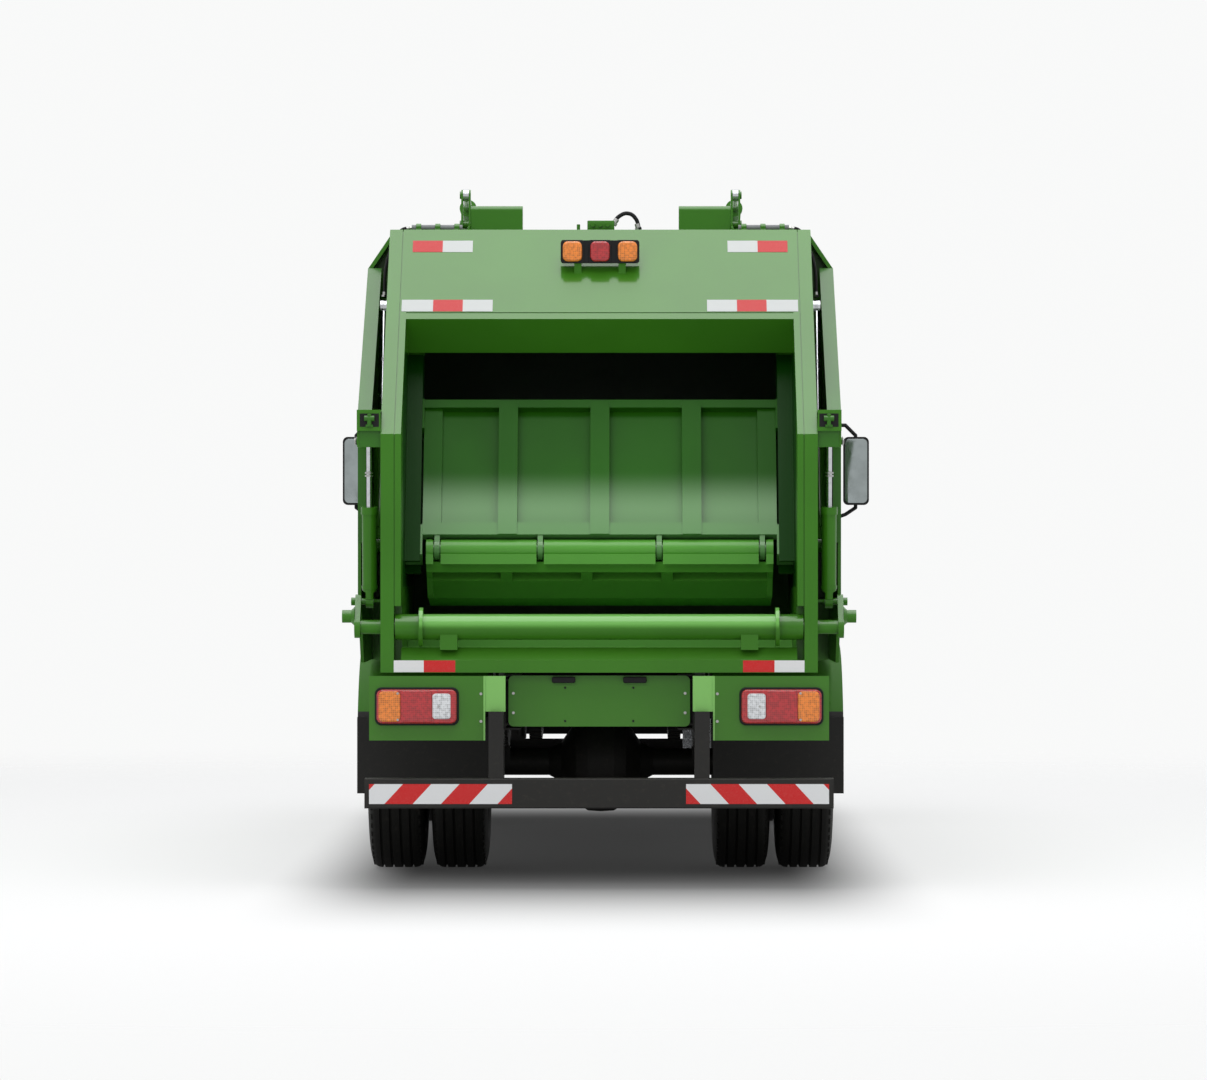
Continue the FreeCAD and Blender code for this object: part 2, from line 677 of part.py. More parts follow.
def make_rear_bumper():
    """Channel bumper with a folded top lip, on two posts from the frame."""
    wall = 8.0
    back = rear_y
    outline = [(back, bumper_bottom), (back, bumper_top), (back + bumper_depth, bumper_top),
               (back + bumper_depth, bumper_top - wall), (back + wall, bumper_top - wall),
               (back + wall, bumper_bottom + wall), (back + bumper_depth, bumper_bottom + wall),
               (back + bumper_depth, bumper_bottom)]
    beam = side_prism(outline, -bumper_half_width, bumper_half_width)
    beam = rounded(beam, 7, lambda edge: runs_along(X_AXIS)(edge) and edge.CenterOfMass.y < back + 1)
    post_x = frame_half_width
    post_outer = post_x + post_width
    cap = block(bumper_half_width - wall, bumper_half_width, back + 1, back + bumper_depth,
                bumper_bottom + 1, bumper_top - 1)
    front = back + wall
    web = side_prism([(front, bumper_bottom + wall), (front, post_top), (back + 90, post_top),
                      (back + 200, frame_top - 40), (back + 330, frame_top - 40), (back + 330, frame_bottom),
                      (back + 180, bumper_bottom + wall)], post_x, post_x + post_wall)
    face = block(post_x, post_outer, front, front + post_wall, bumper_bottom + wall, post_top)
    flange = block(post_outer - post_wall, post_outer, front, back + 80, bumper_bottom + wall, post_top)
    post = fused(web, face, flange)
    save("rear_bumper", fused(beam, cap, mirrored(cap), post, mirrored(post)))


def make_lamp_panels():
    """Folded sheet trays that carry the tail lamps, their green posts, and the plate between the rails."""
    sheet = 6.0
    back = rear_y + lamp_depth
    fold = 45.0
    web_back = back + sheet - 1
    tray = block(lamp_panel_inner_x, lamp_panel_outer_x, back, back + fold, lamp_panel_bottom, lamp_panel_top)
    tray = tray.cut(block(lamp_panel_inner_x + sheet, lamp_panel_outer_x - sheet, back + sheet, back + fold + 1,
                          lamp_panel_bottom + sheet, lamp_panel_top - sheet))
    wing_x = frame_half_width + post_wall
    post_inner = frame_half_width - channel_lip
    arm = block(wing_x, lamp_panel_inner_x + 60, back + sheet, back + 90, 840, 840 + 2 * sheet)
    wing = block(wing_x, wing_x + 14, web_back, frame_rear_y + 220, post_top, frame_top - 30)
    web = block(post_inner, lamp_panel_inner_x + 30, web_back, web_back + sheet + 1, post_top, lamp_panel_top)
    flange = block(post_inner, post_inner + channel_lip, web_back, frame_rear_y - 10, post_top, lamp_panel_top)
    right = fused(tray, arm, wing, web, flange)
    centre_half = 410.0
    centre = block(-centre_half, centre_half, frame_rear_y - 8, frame_rear_y, 730, lamp_panel_top)
    centre = rounded(centre, 24, runs_along(Y_AXIS))
    save("lamp_panels", Part.makeCompound([right, mirrored(right), centre]))


def make_lamps():
    """Tail lamps and headlamps: rounded lens blocks, each with its own lens steps."""
    sheet_back = rear_y + lamp_depth
    tail = block(lamp_inner_x, lamp_outer_x, rear_y + 4, sheet_back, lamp_bottom, lamp_top)
    tail = rounded(tail, 16, runs_along(Y_AXIS))
    third = (lamp_outer_x - lamp_inner_x) / 3
    for index in (1, 2):
        x = lamp_inner_x + index * third
        tail = tail.cut(block(x - 3, x + 3, rear_y, rear_y + 12, lamp_bottom - 1, lamp_top + 1))
    plate = block(106, 216, frame_rear_y - 32, frame_rear_y - 8, 926, 956)
    plate = rounded(plate, 8, runs_along(Y_AXIS))
    head_y = front_y - 74
    head = block(head_lamp_x, head_lamp_x + 280, head_y, head_y + 62, bumper_low + 170, bumper_low + 330)
    head = rounded(head, 30, runs_along(Y_AXIS))
    save("lamps", Part.makeCompound([tail, mirrored(tail), plate, mirrored(plate), head, mirrored(head)]))


def make_mudguards():
    """Rear mudguards: a rolled arch over each twin pair, with a straight rear flap."""
    centre = V(mudguard_inner_x, rear_axle_y, tyre_radius)
    width = mudguard_outer_x - mudguard_inner_x
    outer = mudguard_radius + mudguard_wall
    rear_turn = pi - asin(0.10)
    arch = arc_strip(centre, mudguard_radius, outer, radians(20), rear_turn, width)
    flap_y = rear_axle_y - outer * cos(asin(0.10))
    flap = block(mudguard_inner_x, mudguard_outer_x, flap_y, flap_y + mudguard_wall, flap_bottom, flap_top)
    lip_ring = arc_strip(V(mudguard_outer_x - mudguard_wall, rear_axle_y, tyre_radius), mudguard_radius - 32,
                         outer, radians(20), rear_turn, mudguard_wall)
    stays = []
    for y in (rear_axle_y + 470, rear_axle_y - 470):
        height = tyre_radius + sqrt(mudguard_radius ** 2 - 470 ** 2) - 12
        stays.append(cross_rod(frame_half_width, mudguard_outer_x - 60, y, height, 17))
    rear_right = fused(arch, flap, lip_ring, *stays)
    save("mudguards", both_sides(rear_right))


# Load body

def body_section(offset):
    """Cross-section of the body as a face: flat sides and floor, rounded roof corners."""
    half = body_half_width + offset
    top = body_top + offset
    low = body_floor_z - min(offset, 0)
    corner = body_corner + offset
    lean = corner * (1 - sqrt(0.5))
    def at(x, z):
        return V(x, body_rear_y, z)
    wire = Part.Wire([
        Part.makeLine(at(-half, low), at(half, low)),
        Part.makeLine(at(half, low), at(half, top - corner)),
        Part.Arc(at(half, top - corner), at(half - lean, top - lean), at(half - corner, top)).toShape(),
        Part.makeLine(at(half - corner, top), at(-half + corner, top)),
        Part.Arc(at(-half + corner, top), at(-half + lean, top - lean), at(-half, top - corner)).toShape(),
        Part.makeLine(at(-half, top - corner), at(-half, low))])
    return Part.Face(wire)


def make_body():
    length = body_front_y - body_rear_y
    outer = body_section(0).extrude(V(0, length, 0))
    inner = body_section(-body_wall).extrude(V(0, length - body_wall, 0))
    inner.translate(V(0, -1, 0))
    shell = outer
    hoop = body_section(hoop_depth).extrude(V(0, hoop_width, 0))
    step = (length - hoop_width) / (hoop_count - 1)
    for index in range(hoop_count):
        rib = hoop.copy()
        rib.translate(V(0, index * step, 0))
        shell = shell.fuse(rib)
    for x in (-frame_half_width + frame_flange / 2, frame_half_width - frame_flange / 2):
        shell = shell.fuse(block(x - 35, x + 35, body_rear_y, body_front_y, frame_top, body_floor_z + 1))
    count = 7
    for index in range(count):
        y = body_rear_y + 60 + index * (length - 200) / (count - 1)
        clear = abs(y + 40 - rear_axle_y) > mudguard_radius + 60
        if clear:
            shell = shell.fuse(block(-body_half_width + 20, body_half_width - 20, y, y + 80,
                                     body_floor_z - 70, body_floor_z + 1))
    shell = shell.cut(inner)
    hinge_front = hinge_y + 75
    block_back = gate_front_y + joint_gap
    for side in (-1, 1):
        x0 = hinge_block_inner_x
        x1 = lever_x - lift_eye_width / 2 - lever_plate - 1.5
        pieces = block(x0, x1, block_back, hinge_front, body_top - 20, hinge_z + 88)
        pieces = rounded(pieces, 22, runs_along(X_AXIS))
        pin = cross_rod(x0, lever_x + lift_eye_width / 2 + lever_plate + 8, hinge_y, hinge_z, hinge_pin_radius)
        near = lever_x - lift_eye_width / 2 - 14
        far = lever_x + lift_eye_width / 2 + 1
        ears = [link_plate((lift_base_y, body_top + 10), (lift_base_y, lift_base_z), 36, 30, start, start + 13)
                for start in (near, far)]
        base_pin = cross_rod(near, far + 13, lift_base_y, lift_base_z, 14)
        for piece in (pieces, pin, *ears, base_pin):
            shell = shell.fuse(piece if side > 0 else mirrored(piece))
    save("body_shell", shell.removeSplitter())


def make_ejector():
    """Push-out plate on floor shoes: a leaning blade on a braced back."""
    half = body_half_width - body_wall - ejector_gap
    top = body_top - body_wall - ejector_gap
    low = body_floor_z + body_wall + ejector_gap
    corner = body_corner - body_wall - ejector_gap
    y = ejector_rest_y
    face = rounded(block(-half, half, y, y + ejector_thickness, low, top), corner,
                   lambda edge: runs_along(Y_AXIS)(edge) and edge.CenterOfMass.z > top - 1)
    solids = [face]
    for x in (-half + 30, -560, 560, half - 90):
        solids.append(side_prism([(y + 1, low), (y + 190, low), (y + 190, low + 300), (y + 90, top - 160), (y + 1, top - 160)],
                                 x, x + 60))
        foot = body_floor_z + body_wall + face_gap
        solids.append(block(x, x + 60, y, y + 190, foot, low + 1))
    for z in (low + 360, low + 960, low + 1560):
        solids.append(block(-half + 31, half - 31, y + ejector_thickness - 1, y + 80, z, z + 90))
    save("ejector_plate", fused(*solids))


# Tailgate

def on_rail(s, n):
    """Side position from the blade pivot: s up the rails, n square to them towards the rear."""
    y = pivot_y + s * cos(rail_angle) - n * sin(rail_angle)
    z = pivot_z + s * sin(rail_angle) + n * cos(rail_angle)
    return y, z


def rail_prism(s0, s1, n0, n1, x0, x1):
    corners = [on_rail(s0, n0), on_rail(s1, n0), on_rail(s1, n1), on_rail(s0, n1)]
    return side_prism(corners, x0, x1)


def link_plate(a, b, radius_a, radius_b, x0, x1):
    """Flat link with round ends about the side positions a and b."""
    along = V(0, b[0] - a[0], b[1] - a[1]).normalize()
    across = V(0, -along.z, along.y)
    corners = []
    for centre, radius, turn in ((a, radius_a, 1), (b, radius_b, 1), (b, radius_b, -1), (a, radius_a, -1)):
        point = V(0, centre[0], centre[1]) + across * (radius * turn)
        corners.append((point.y, point.z))
    return fused(side_prism(corners, x0, x1), cross_rod(x0, x1, a[0], a[1], radius_a),
                 cross_rod(x0, x1, b[0], b[1], radius_b))


def gate_outline(inset):
    """Slope and roof of the tailgate from the side, moved inwards by the inset."""
    shift = inset * tan(radians(22.5))
    return [(gate_rear_y + inset, slope_bend_z - shift), (slope_top_y + shift, gate_top - inset),
            (gate_front_y, gate_top - inset)]


def make_tailgate_shell():
    hood_y = slope_top_y - (gate_top - mouth_top_z)
    notch_y = tube_y + tube_radius + move_gap
    notch_z = tube_z + 90 + move_gap
    wall_low = sill_bottom + 10
    outline = [(gate_front_y, wall_low), (notch_y, wall_low), (notch_y, notch_z), (gate_rear_y, notch_z)]
    wall = side_prism(outline + gate_outline(0), gate_inner_x, column_inner_x)
    slot_end = slide_pin_s + packer_travel + slide_pin_radius + 8
    slot = rail_prism(slide_pin_s - slide_pin_radius - 8, slot_end, -slide_pin_radius - 8, slide_pin_radius + 8,
                      gate_inner_x - 1, column_inner_x + 1)
    wall = wall.cut(slot)
    band = [(gate_rear_y - 1, notch_z)] + gate_outline(-1)[:2] + gate_outline(seam_depth)[1::-1]
    band.append((gate_rear_y + seam_depth, notch_z))
    wall = wall.cut(side_prism(band, column_inner_x - seam, column_inner_x + 1))
    rails = []
    top_s = slide_pin_s + packer_travel + carriage_length
    for n0, n1 in ((shoe_half + face_gap, shoe_half + face_gap + rail_bar),
                   (-shoe_half - face_gap - rail_bar, -shoe_half - face_gap)):
        rails.append(rail_prism(-90, top_s, n0, n1, rail_x, gate_inner_x + 1))
    shelf_z = sill_top + 259
    side_outline = [(gate_front_y, side_plate_bottom), (side_plate_rear_y + 270, side_plate_bottom),
                    (side_plate_rear_y, shelf_z),
                    (side_plate_rear_y, side_plate_bend_z), (gate_front_y - 155, side_plate_top_z),
                    (gate_front_y, side_plate_top_z)]
    side = side_prism(side_outline, side_plate_x - side_plate_thickness, side_plate_x)
    cap = front_prism([(column_inner_x, gate_top), (column_outer_x, gate_top), (side_plate_x, side_plate_top_z),
                       (side_plate_x - side_plate_thickness, side_plate_top_z - 10),
                       (column_outer_x - 10, gate_top - 16), (column_inner_x, gate_top - 16)],
                      gate_front_y - 155, gate_front_y)
    shelf = block(column_inner_x - 1, side_plate_x - 1, side_plate_rear_y + 30, gate_front_y, shelf_z, shelf_z + 12)
    end_y, end_z = on_rail(slide_pin_s + slide_barrel_length + slide_rod_shown, 0)
    boss = cross_rod(column_inner_x - 1, slide_cylinder_x - 20, end_y, end_z, 34)
    boss_pin = cross_rod(column_inner_x, slide_cylinder_x + 26, end_y, end_z, 18)
    pad = block(column_inner_x - 1, column_inner_x + 14, end_y - 80, end_y + 80, end_z - 90, end_z + 90)
    right = fused(wall, side, cap, shelf, boss, boss_pin, pad, *rails)
    right = right.fuse(lever_plates())
    roof_points = [(hood_y, mouth_top_z), (slope_top_y, gate_top), (gate_front_y, gate_top)]
    inner = gate_outline(gate_roof)
    drop = gate_roof * sqrt(0.5)
    roof_points += [inner[2], inner[1], (hood_y + drop, mouth_top_z - drop)]
    roof = side_prism(roof_points, -gate_inner_x - 1, gate_inner_x + 1)
    strip_y = hood_y + mouth_strip
    strip_z = mouth_top_z + mouth_strip
    dip = seam_depth * sqrt(0.5)
    roof = roof.cut(side_prism([(strip_y - 1, strip_z + 1), (strip_y + seam - 1, strip_z + seam + 1),
                                (strip_y + seam + dip, strip_z + seam - dip), (strip_y + dip, strip_z - dip)],
                               -gate_inner_x, gate_inner_x))
    lip_run = 150.0
    lip = side_prism([(hood_y, mouth_top_z), (hood_y + 8, mouth_top_z + 8), (hood_y + lip_run + 8, mouth_top_z - lip_run + 8),
                      (hood_y + lip_run, mouth_top_z - lip_run)], -gate_inner_x - 1, gate_inner_x + 1)
    frame_outline = [(side_plate_x, side_plate_bottom), (side_plate_x, side_plate_top_z), (column_outer_x, gate_top),
                     (-column_outer_x, gate_top), (-side_plate_x, side_plate_top_z), (-side_plate_x, side_plate_bottom),
                     (-column_inner_x, wall_low), (column_inner_x, wall_low)]
    front_frame = front_prism(frame_outline, gate_front_y - 14, gate_front_y)
    front_frame = front_frame.cut(block(-gate_inner_x, gate_inner_x, gate_front_y - 15, gate_front_y + 1,
                                        wall_low - 1, gate_top - gate_roof))
    shell = fused(right, mirrored(right), roof, lip, front_frame)
    save("tailgate_shell", shell.cut(both_sides(mouth_column())))


def lever_plates():
    """Right hinge ear: two plates that hang on the roof pin and rise to the lift rod's eye."""
    ear = [(gate_front_y - 235, gate_top - 1), (gate_front_y - 8, gate_top - 1), (gate_front_y - 3, gate_top + 11),
           (hinge_y, hinge_z - hinge_ear_radius), (hinge_y, hinge_z), (gate_front_y - 235, gate_top + 16)]
    bar = [(hinge_y, hinge_z), (hinge_y, hinge_z + lever_arm)]
    near = lift_eye_width / 2 + face_gap
    plates = []
    for x0 in (lever_x - near - lever_plate, lever_x + near):
        arm = link_plate(bar[0], bar[1], hinge_ear_radius, 26, x0, x0 + lever_plate)
        plate = fused(side_prism(ear, x0, x0 + lever_plate), arm)
        plates.append(plate.cut(cross_rod(x0 - 1, x0 + lever_plate + 1, hinge_y, hinge_z,
                                          hinge_pin_radius + pin_gap)))
    outer = lever_x + near + lever_plate
    inner = lever_x - near - lever_plate
    plates.append(cross_rod(outer, outer + 7, bar[1][0], bar[1][1], 18))
    brace = block(inner, outer, gate_front_y - 235, gate_front_y - 60, gate_top - 1, gate_top + 12)
    return fused(brace, *plates)


def mouth_column():
    """Right box column beside the mouth, bent to follow the slope."""
    outer = [(gate_rear_y, sill_top)] + gate_outline(0)
    inner = gate_outline(column_depth)
    points = outer + [inner[2], inner[1], inner[0], (gate_rear_y + column_depth, sill_top)]
    return side_prism(points, column_inner_x, column_outer_x)


def make_mouth_columns():
    """Both columns with the tipper's shaft bores and its cylinders' brackets."""
    column = mouth_column().cut(cross_rod(column_inner_x - 1, column_outer_x + 1, tube_y, tube_z, tube_shaft_radius + pin_gap))
    x0 = column_outer_x
    x1 = side_plate_x - 8
    plate = 9.0
    back = tipper_top_y - 78
    front = tipper_top_y + 62
    upper = block(x0 - 1, x1, back, front, tipper_top_z + 130, tipper_top_z + 130 + plate)
    middle = block(x0 - 1, x1, back, front, tipper_top_z + 44, tipper_top_z + 44 + plate)
    eye = tipper_eye_width / 2 + face_gap
    cheeks = []
    for start, end in ((x0 - 1, tipper_cylinder_x - eye), (tipper_cylinder_x + eye, x1)):
        cheeks.append(block(start, end, tipper_top_y - 46, tipper_top_y + 46, tipper_top_z - 28, tipper_top_z + 45))
    rear_web = block(x0, x1, back, back + plate, tipper_top_z + 45, tipper_top_z + 135)
    outer_web = block(x1 - plate, x1, back, front, tipper_top_z + 45, tipper_top_z + 135)
    head = cross_rod(x1, x1 + 6, tipper_top_y, tipper_top_z, 17)
    right = fused(column, upper, middle, rear_web, outer_web, head, *cheeks)
    save("mouth_columns", both_sides(right))


def make_hopper_trough():
    """Round hopper floor about the blade's lowest pivot, loading sill, front deck and ribs beneath."""
    inner = blade_reach + trough_gap
    outer = inner + trough_wall
    rear_turn = pi + asin((pivot_z - ledge_z) / inner)
    front_turn = radians(325)
    centre = V(-gate_inner_x, pivot_y, pivot_z)
    floor = arc_strip(centre, inner, outer, rear_turn, front_turn, 2 * gate_inner_x)
    rear_lip_y = pivot_y + inner * cos(rear_turn)
    front_lip = (pivot_y + inner * cos(front_turn), pivot_z + inner * sin(front_turn))
    front_low = (pivot_y + outer * cos(front_turn), pivot_z + outer * sin(front_turn))
    deck_z = body_floor_z + 65
    deck = side_prism([front_lip, (gate_front_y, deck_z), (gate_front_y, deck_z - trough_wall), front_low],
                      -gate_inner_x, gate_inner_x)
    sill = side_prism([(gate_rear_y, sill_bottom), (gate_rear_y, sill_top), (gate_rear_y + 62, ledge_z),
                       (rear_lip_y + 2, ledge_z), (rear_lip_y + 2, ledge_z - 12), (gate_rear_y + sill_depth, ledge_z - 12),
                       (gate_rear_y + sill_depth, sill_bottom)], -gate_inner_x, gate_inner_x)
    beam = block(-column_outer_x, column_outer_x, gate_rear_y, gate_rear_y + sill_depth, sill_bottom, sill_top)
    drum = cross_rod(-gate_inner_x, gate_inner_x, pivot_y, pivot_z, inner + 2)
    ribs = []
    for x in (-700, -560, 560, 700):
        rib = side_prism([(gate_rear_y + sill_depth - 1, sill_bottom + 6), (gate_rear_y + sill_depth - 1, ledge_z - 13),
                          (rear_lip_y, ledge_z - 5), (pivot_y, pivot_z), front_low, (gate_front_y, deck_z - trough_wall + 1),
                          (gate_front_y, sill_bottom + 90), (gate_front_y - 300, sill_bottom + 6)], x - 5, x + 5)
        ribs.append(rib.cut(drum))
    saddles = []
    saddle_x = gate_inner_x - 215
    for x in (-saddle_x, saddle_x):
        saddle = block(x - 39, x + 39, tube_y - 48, tube_y + 48, ledge_z - 10, tube_z - 32)
        saddles.append(saddle.cut(cross_rod(x - 40, x + 40, tube_y, tube_z, tube_radius + face_gap)))
    save("hopper_trough", fused(floor, deck, sill, beam, *ribs, *saddles))


def make_light_bar():
    """Black lamp bar on the slope with its two bracket feet, and the three lamps in it."""
    low = gate_top - 168
    high = low + 104
    foot_low = low - 47
    y1 = gate_rear_y + low - slope_bend_z - 12
    y0 = y1 - 52
    bar = rounded_block(-183, 183, y0, y1, low, high, 14, Y_AXIS)
    feet = []
    for x in (-120, 86):
        foot_y = gate_rear_y + foot_low - slope_bend_z
        feet.append(side_prism([(foot_y, foot_low), (y0 + 8, low - 12), (y0 + 8, low + 1), (y1, low + 1),
                                (y1 + 60, low + 58), (foot_y + 100, foot_low + 100)], x, x + 34))
    save("light_bar", fused(bar, *feet))
    middle = (low + high) / 2
    lenses = []
    for x in (-125, 0, 125):
        lens = block(x - 45, x + 45, y0 - 22, y0, middle - 47, middle + 47)
        lens = lens.makeChamfer(14, [edge for edge in lens.Edges if runs_along(Y_AXIS)(edge)])
        lenses.append(lens)
    save("light_bar_lamps", Part.makeCompound(lenses))


# Packer

def lug_spans():
    outer = carriage_half_width - 80
    return ((-outer - 24, -outer), (-285, -261), (261, 285), (outer, outer + 24))


def make_carriage():
    half = carriage_half_width
    low = 54.0
    plate = rail_prism(low, carriage_length, -carriage_plate, 0, -half, half)
    solids = [plate]
    for x in (-rib_x, 0, rib_x):
        solids.append(rail_prism(low, carriage_length - 10, -1, rib_depth, x - rib_width / 2, x + rib_width / 2))
    for x0, x1 in ((-half, -half + 85), (half - 85, half)):
        solids.append(rail_prism(low, carriage_length, -1, 30, x0, x1))
    solids.append(rail_prism(carriage_length - 40, carriage_length, -1, 50, -half, half))
    solids.append(rail_prism(low, low + 60, -1, 50, -half, half))
    for x0, x1 in lug_spans():
        solids.append(rail_prism(0, low + 5, -30, 44, x0, x1))
        solids.append(cross_rod(x0, x1, pivot_y, pivot_z, 48))
    solids.append(cross_rod(-half + 20, half - 20, pivot_y, pivot_z, 30))
    shoe_x = gate_inner_x - face_gap
    for s in (-50, carriage_length - shoe_length):
        for x0, x1 in ((half - 1, shoe_x), (-shoe_x, -half + 1)):
            solids.append(rail_prism(s, s + shoe_length, -shoe_half, shoe_half, x0, x1))
    y, z = on_rail(slide_pin_s, 0)
    slide_pin = cross_rod(half - 1, slide_cylinder_x + 22, y, z, slide_pin_radius)
    pin_block = rail_prism(slide_pin_s - 60, low + 40, -carriage_plate, 50, half - 1, half + 59)
    for piece in (slide_pin, pin_block):
        solids += [piece, mirrored(piece)]
    save("packer_carriage", fused(*solids))


def make_blade():
    """Wedge-shaped box blade with pockets in its back, hub tubes between the carriage's lugs."""
    section = [(18, 40), (blade_reach, 8), (blade_reach, -12), (330, -74), (62, -84), (8, -45)]
    half = carriage_half_width - 18
    solid = side_prism([(pivot_y + r, pivot_z + t) for r, t in section], -half, half)
    hub_radius_outer = 46.0
    solid = solid.fuse(cross_rod(-half, half, pivot_y, pivot_z, hub_radius_outer))
    edges = (-half, -430, -60, 310, half)
    for left, right in zip(edges[:-1], edges[1:]):
        pocket = side_prism([(pivot_y + r, pivot_z + t) for r, t in ((66, -100), (150, -100), (150, -20), (66, -20))],
                            left + 26, right - 26)
        solid = solid.cut(pocket)
    for x in (-half + 13, half - 13):
        ear = link_plate((pivot_y, pivot_z), (pivot_y + 250, pivot_z - 50), 48, 60, x - 13, x + 13)
        solid = solid.fuse(ear)
    for x0, x1 in lug_spans():
        solid = solid.cut(cross_rod(x0 - move_gap, x1 + move_gap, pivot_y, pivot_z, 57))
    solid = solid.cut(cross_rod(-half - 1, half + 1, pivot_y, pivot_z, 30 + pin_gap))
    solid = solid.rotate(V(0, pivot_y, pivot_z), X_AXIS, degrees(blade_rest))
    bar = block(-half, half, pivot_y - 55, pivot_y - 20, pivot_z - 67, pivot_z - 20)
    bar = bar.cut(cross_rod(-half - 1, half + 1, pivot_y, pivot_z, 40))
    for x0, x1 in lug_spans():
        bar = bar.cut(block(x0 - move_gap, x1 + move_gap, pivot_y - 60, pivot_y, pivot_z - 70, pivot_z))
    save("sweep_blade", fused(solid, bar))


# Hydraulic cylinders

def hydraulic(x, base, tip, barrel_length, bore_depth, rod_inside, barrel_radius, rod_radius, eye_width, base_pin):
    """Barrel from its base eye towards the tip, and the rod in its bore with a closed eye at the tip."""
    a = V(x, base[0], base[1])
    b = V(x, tip[0], tip[1])
    along = (b - a).normalize()
    mouth = a + along * barrel_length
    eye = barrel_radius * 0.92
    slot = barrel_radius * 1.56
    barrel = fused(rod_between(a + along * 12, mouth, barrel_radius),
                   rod_between(mouth - along * 34, mouth, barrel_radius + 5),
                   rod_between(a + along * (slot + 6), a + along * (slot + 22), barrel_radius + 3),
                   cross_rod(x - eye_width / 2, x + eye_width / 2, a.y, a.z, eye))
    slots = []
    for low, high in ((x - 2 * barrel_radius, x - eye_width / 2), (x + eye_width / 2, x + 2 * barrel_radius)):
        slots.append(cross_rod(low, high, a.y, a.z, slot))
    barrel = barrel.cut(slots[0]).cut(slots[1])
    barrel = barrel.cut(rod_between(mouth - along * bore_depth, mouth + along, rod_radius + pin_gap))
    barrel = barrel.cut(cross_rod(x - eye_width, x + eye_width, a.y, a.z, base_pin + pin_gap))
    tip_eye = rod_radius + 9
    neck = min(rod_radius, eye_width / 2 - 1)
    rod = fused(rod_between(mouth - along * rod_inside, b - along * neck_length, rod_radius),
                rod_between(b - along * (neck_length + 1), b, neck),
                cross_rod(x - eye_width / 2, x + eye_width / 2, b.y, b.z, tip_eye))
    return barrel, rod


def make_cylinders():
    rod_tip = slide_pin_s + slide_barrel_length + slide_rod_shown
    barrel, rod = hydraulic(slide_cylinder_x, on_rail(slide_pin_s, 0), on_rail(rod_tip, 0), slide_barrel_length,
                            packer_travel + 32, 28, slide_barrel_radius, slide_rod_radius, 34, slide_pin_radius)
    tip_y, tip_z = on_rail(rod_tip, 0)
    rod = rod.fuse(cross_rod(slide_cylinder_x - 17, slide_cylinder_x + 17, tip_y, tip_z, 32))
    rod = rod.cut(cross_rod(slide_cylinder_x - 30, slide_cylinder_x + 30, tip_y, tip_z, 18 + seat_gap))
    save("slide_barrels", both_sides(barrel))
    save("slide_rods", both_sides(rod.removeSplitter()))
    barrel, rod = hydraulic(lever_x, (lift_base_y, lift_base_z), (hinge_y, hinge_z + lever_arm), lift_barrel_length,
                            330, 90, lift_barrel_radius, lift_rod_radius, lift_eye_width, 14)
    save("lift_barrels", both_sides(barrel))
    save("lift_rods", both_sides(rod))
    pin_y = tube_y + crank_arm * cos(crank_rest)
    pin_z = tube_z + crank_arm * sin(crank_rest)
    barrel, rod = hydraulic(tipper_cylinder_x, (pin_y, pin_z), (tipper_top_y, tipper_top_z), tipper_barrel_length,
                            tipper_barrel_length - 60, tipper_barrel_length - 80, tipper_barrel_radius,
                            tipper_rod_radius, tipper_eye_width, crank_pin_radius)
    save("tipper_barrels", both_sides(barrel))
    save("tipper_rods", both_sides(rod))


def make_tipper():
    """Torque tube with flanges, its shafts through the columns, and a crank with a hooking pin at each end."""
    tube = cross_rod(0, column_inner_x - move_gap, tube_y, tube_z, tube_radius)
    shaft = cross_rod(column_inner_x - move_gap - 1, crank_x + crank_thickness, tube_y, tube_z, tube_shaft_radius)
    flange_x = gate_inner_x - 98
    flange = cross_rod(flange_x, flange_x + 18, tube_y, tube_z, 88)
    pin = (tube_y + crank_arm * cos(crank_rest), tube_z + crank_arm * sin(crank_rest))
    crank = link_plate((tube_y, tube_z), pin, 50, 32, crank_x, crank_x + crank_thickness)
    crank_pin = cross_rod(tipper_cylinder_x - tipper_eye_width / 2 - 3, crank_x + 1, pin[0], pin[1], crank_pin_radius)
    stub = cross_rod(crank_x + crank_thickness - 1, crank_x + crank_thickness + 20, pin[0], pin[1], 18)
    face = crank_x + crank_thickness
    seat = Part.makeCone(44, skip_pin_radius, 16, V(face - 0.5, tube_y, tube_z + 48), X_AXIS)
    skip = cross_rod(face, face + skip_pin_length, tube_y, tube_z + 48, skip_pin_radius)
    right = fused(tube, shaft, flange, crank, crank_pin, stub, seat, skip)
    save("tipper_tube", fused(right, mirrored(right)))


# Cab and front end

def cab_profile(inset, low):
    """Side outline of the cab as a face: upright nose, leaning windscreen, rounded roof edges."""
    nose = cab_front_y - inset
    rear = cab_rear_y + inset
    top = cab_top - inset
    screen_top_y = cab_front_y - 150 - inset
    screen_top_z = waist_z + 750 - inset * 0.4
    def at(y, z):
        return V(-cab_half_width + inset, y, z)
    roof_front = at(cab_front_y - 330 - inset, top)
    brow = at(cab_front_y - 205 - inset, top - 62)
    rear_corner = 90.0
    lean = rear_corner * (1 - sqrt(0.5))
    wire = Part.Wire([
        Part.makeLine(at(rear, low), at(nose, low)),
        Part.makeLine(at(nose, low), at(nose, waist_z)),
        Part.makeLine(at(nose, waist_z), at(screen_top_y, screen_top_z)),
        Part.Arc(at(screen_top_y, screen_top_z), brow, roof_front).toShape(),
        Part.makeLine(roof_front, at(rear + rear_corner, top)),
        Part.Arc(at(rear + rear_corner, top), at(rear + lean, top - lean), at(rear, top - rear_corner)).toShape(),
        Part.makeLine(at(rear, top - rear_corner), at(rear, low))])
    return Part.Face(wire)


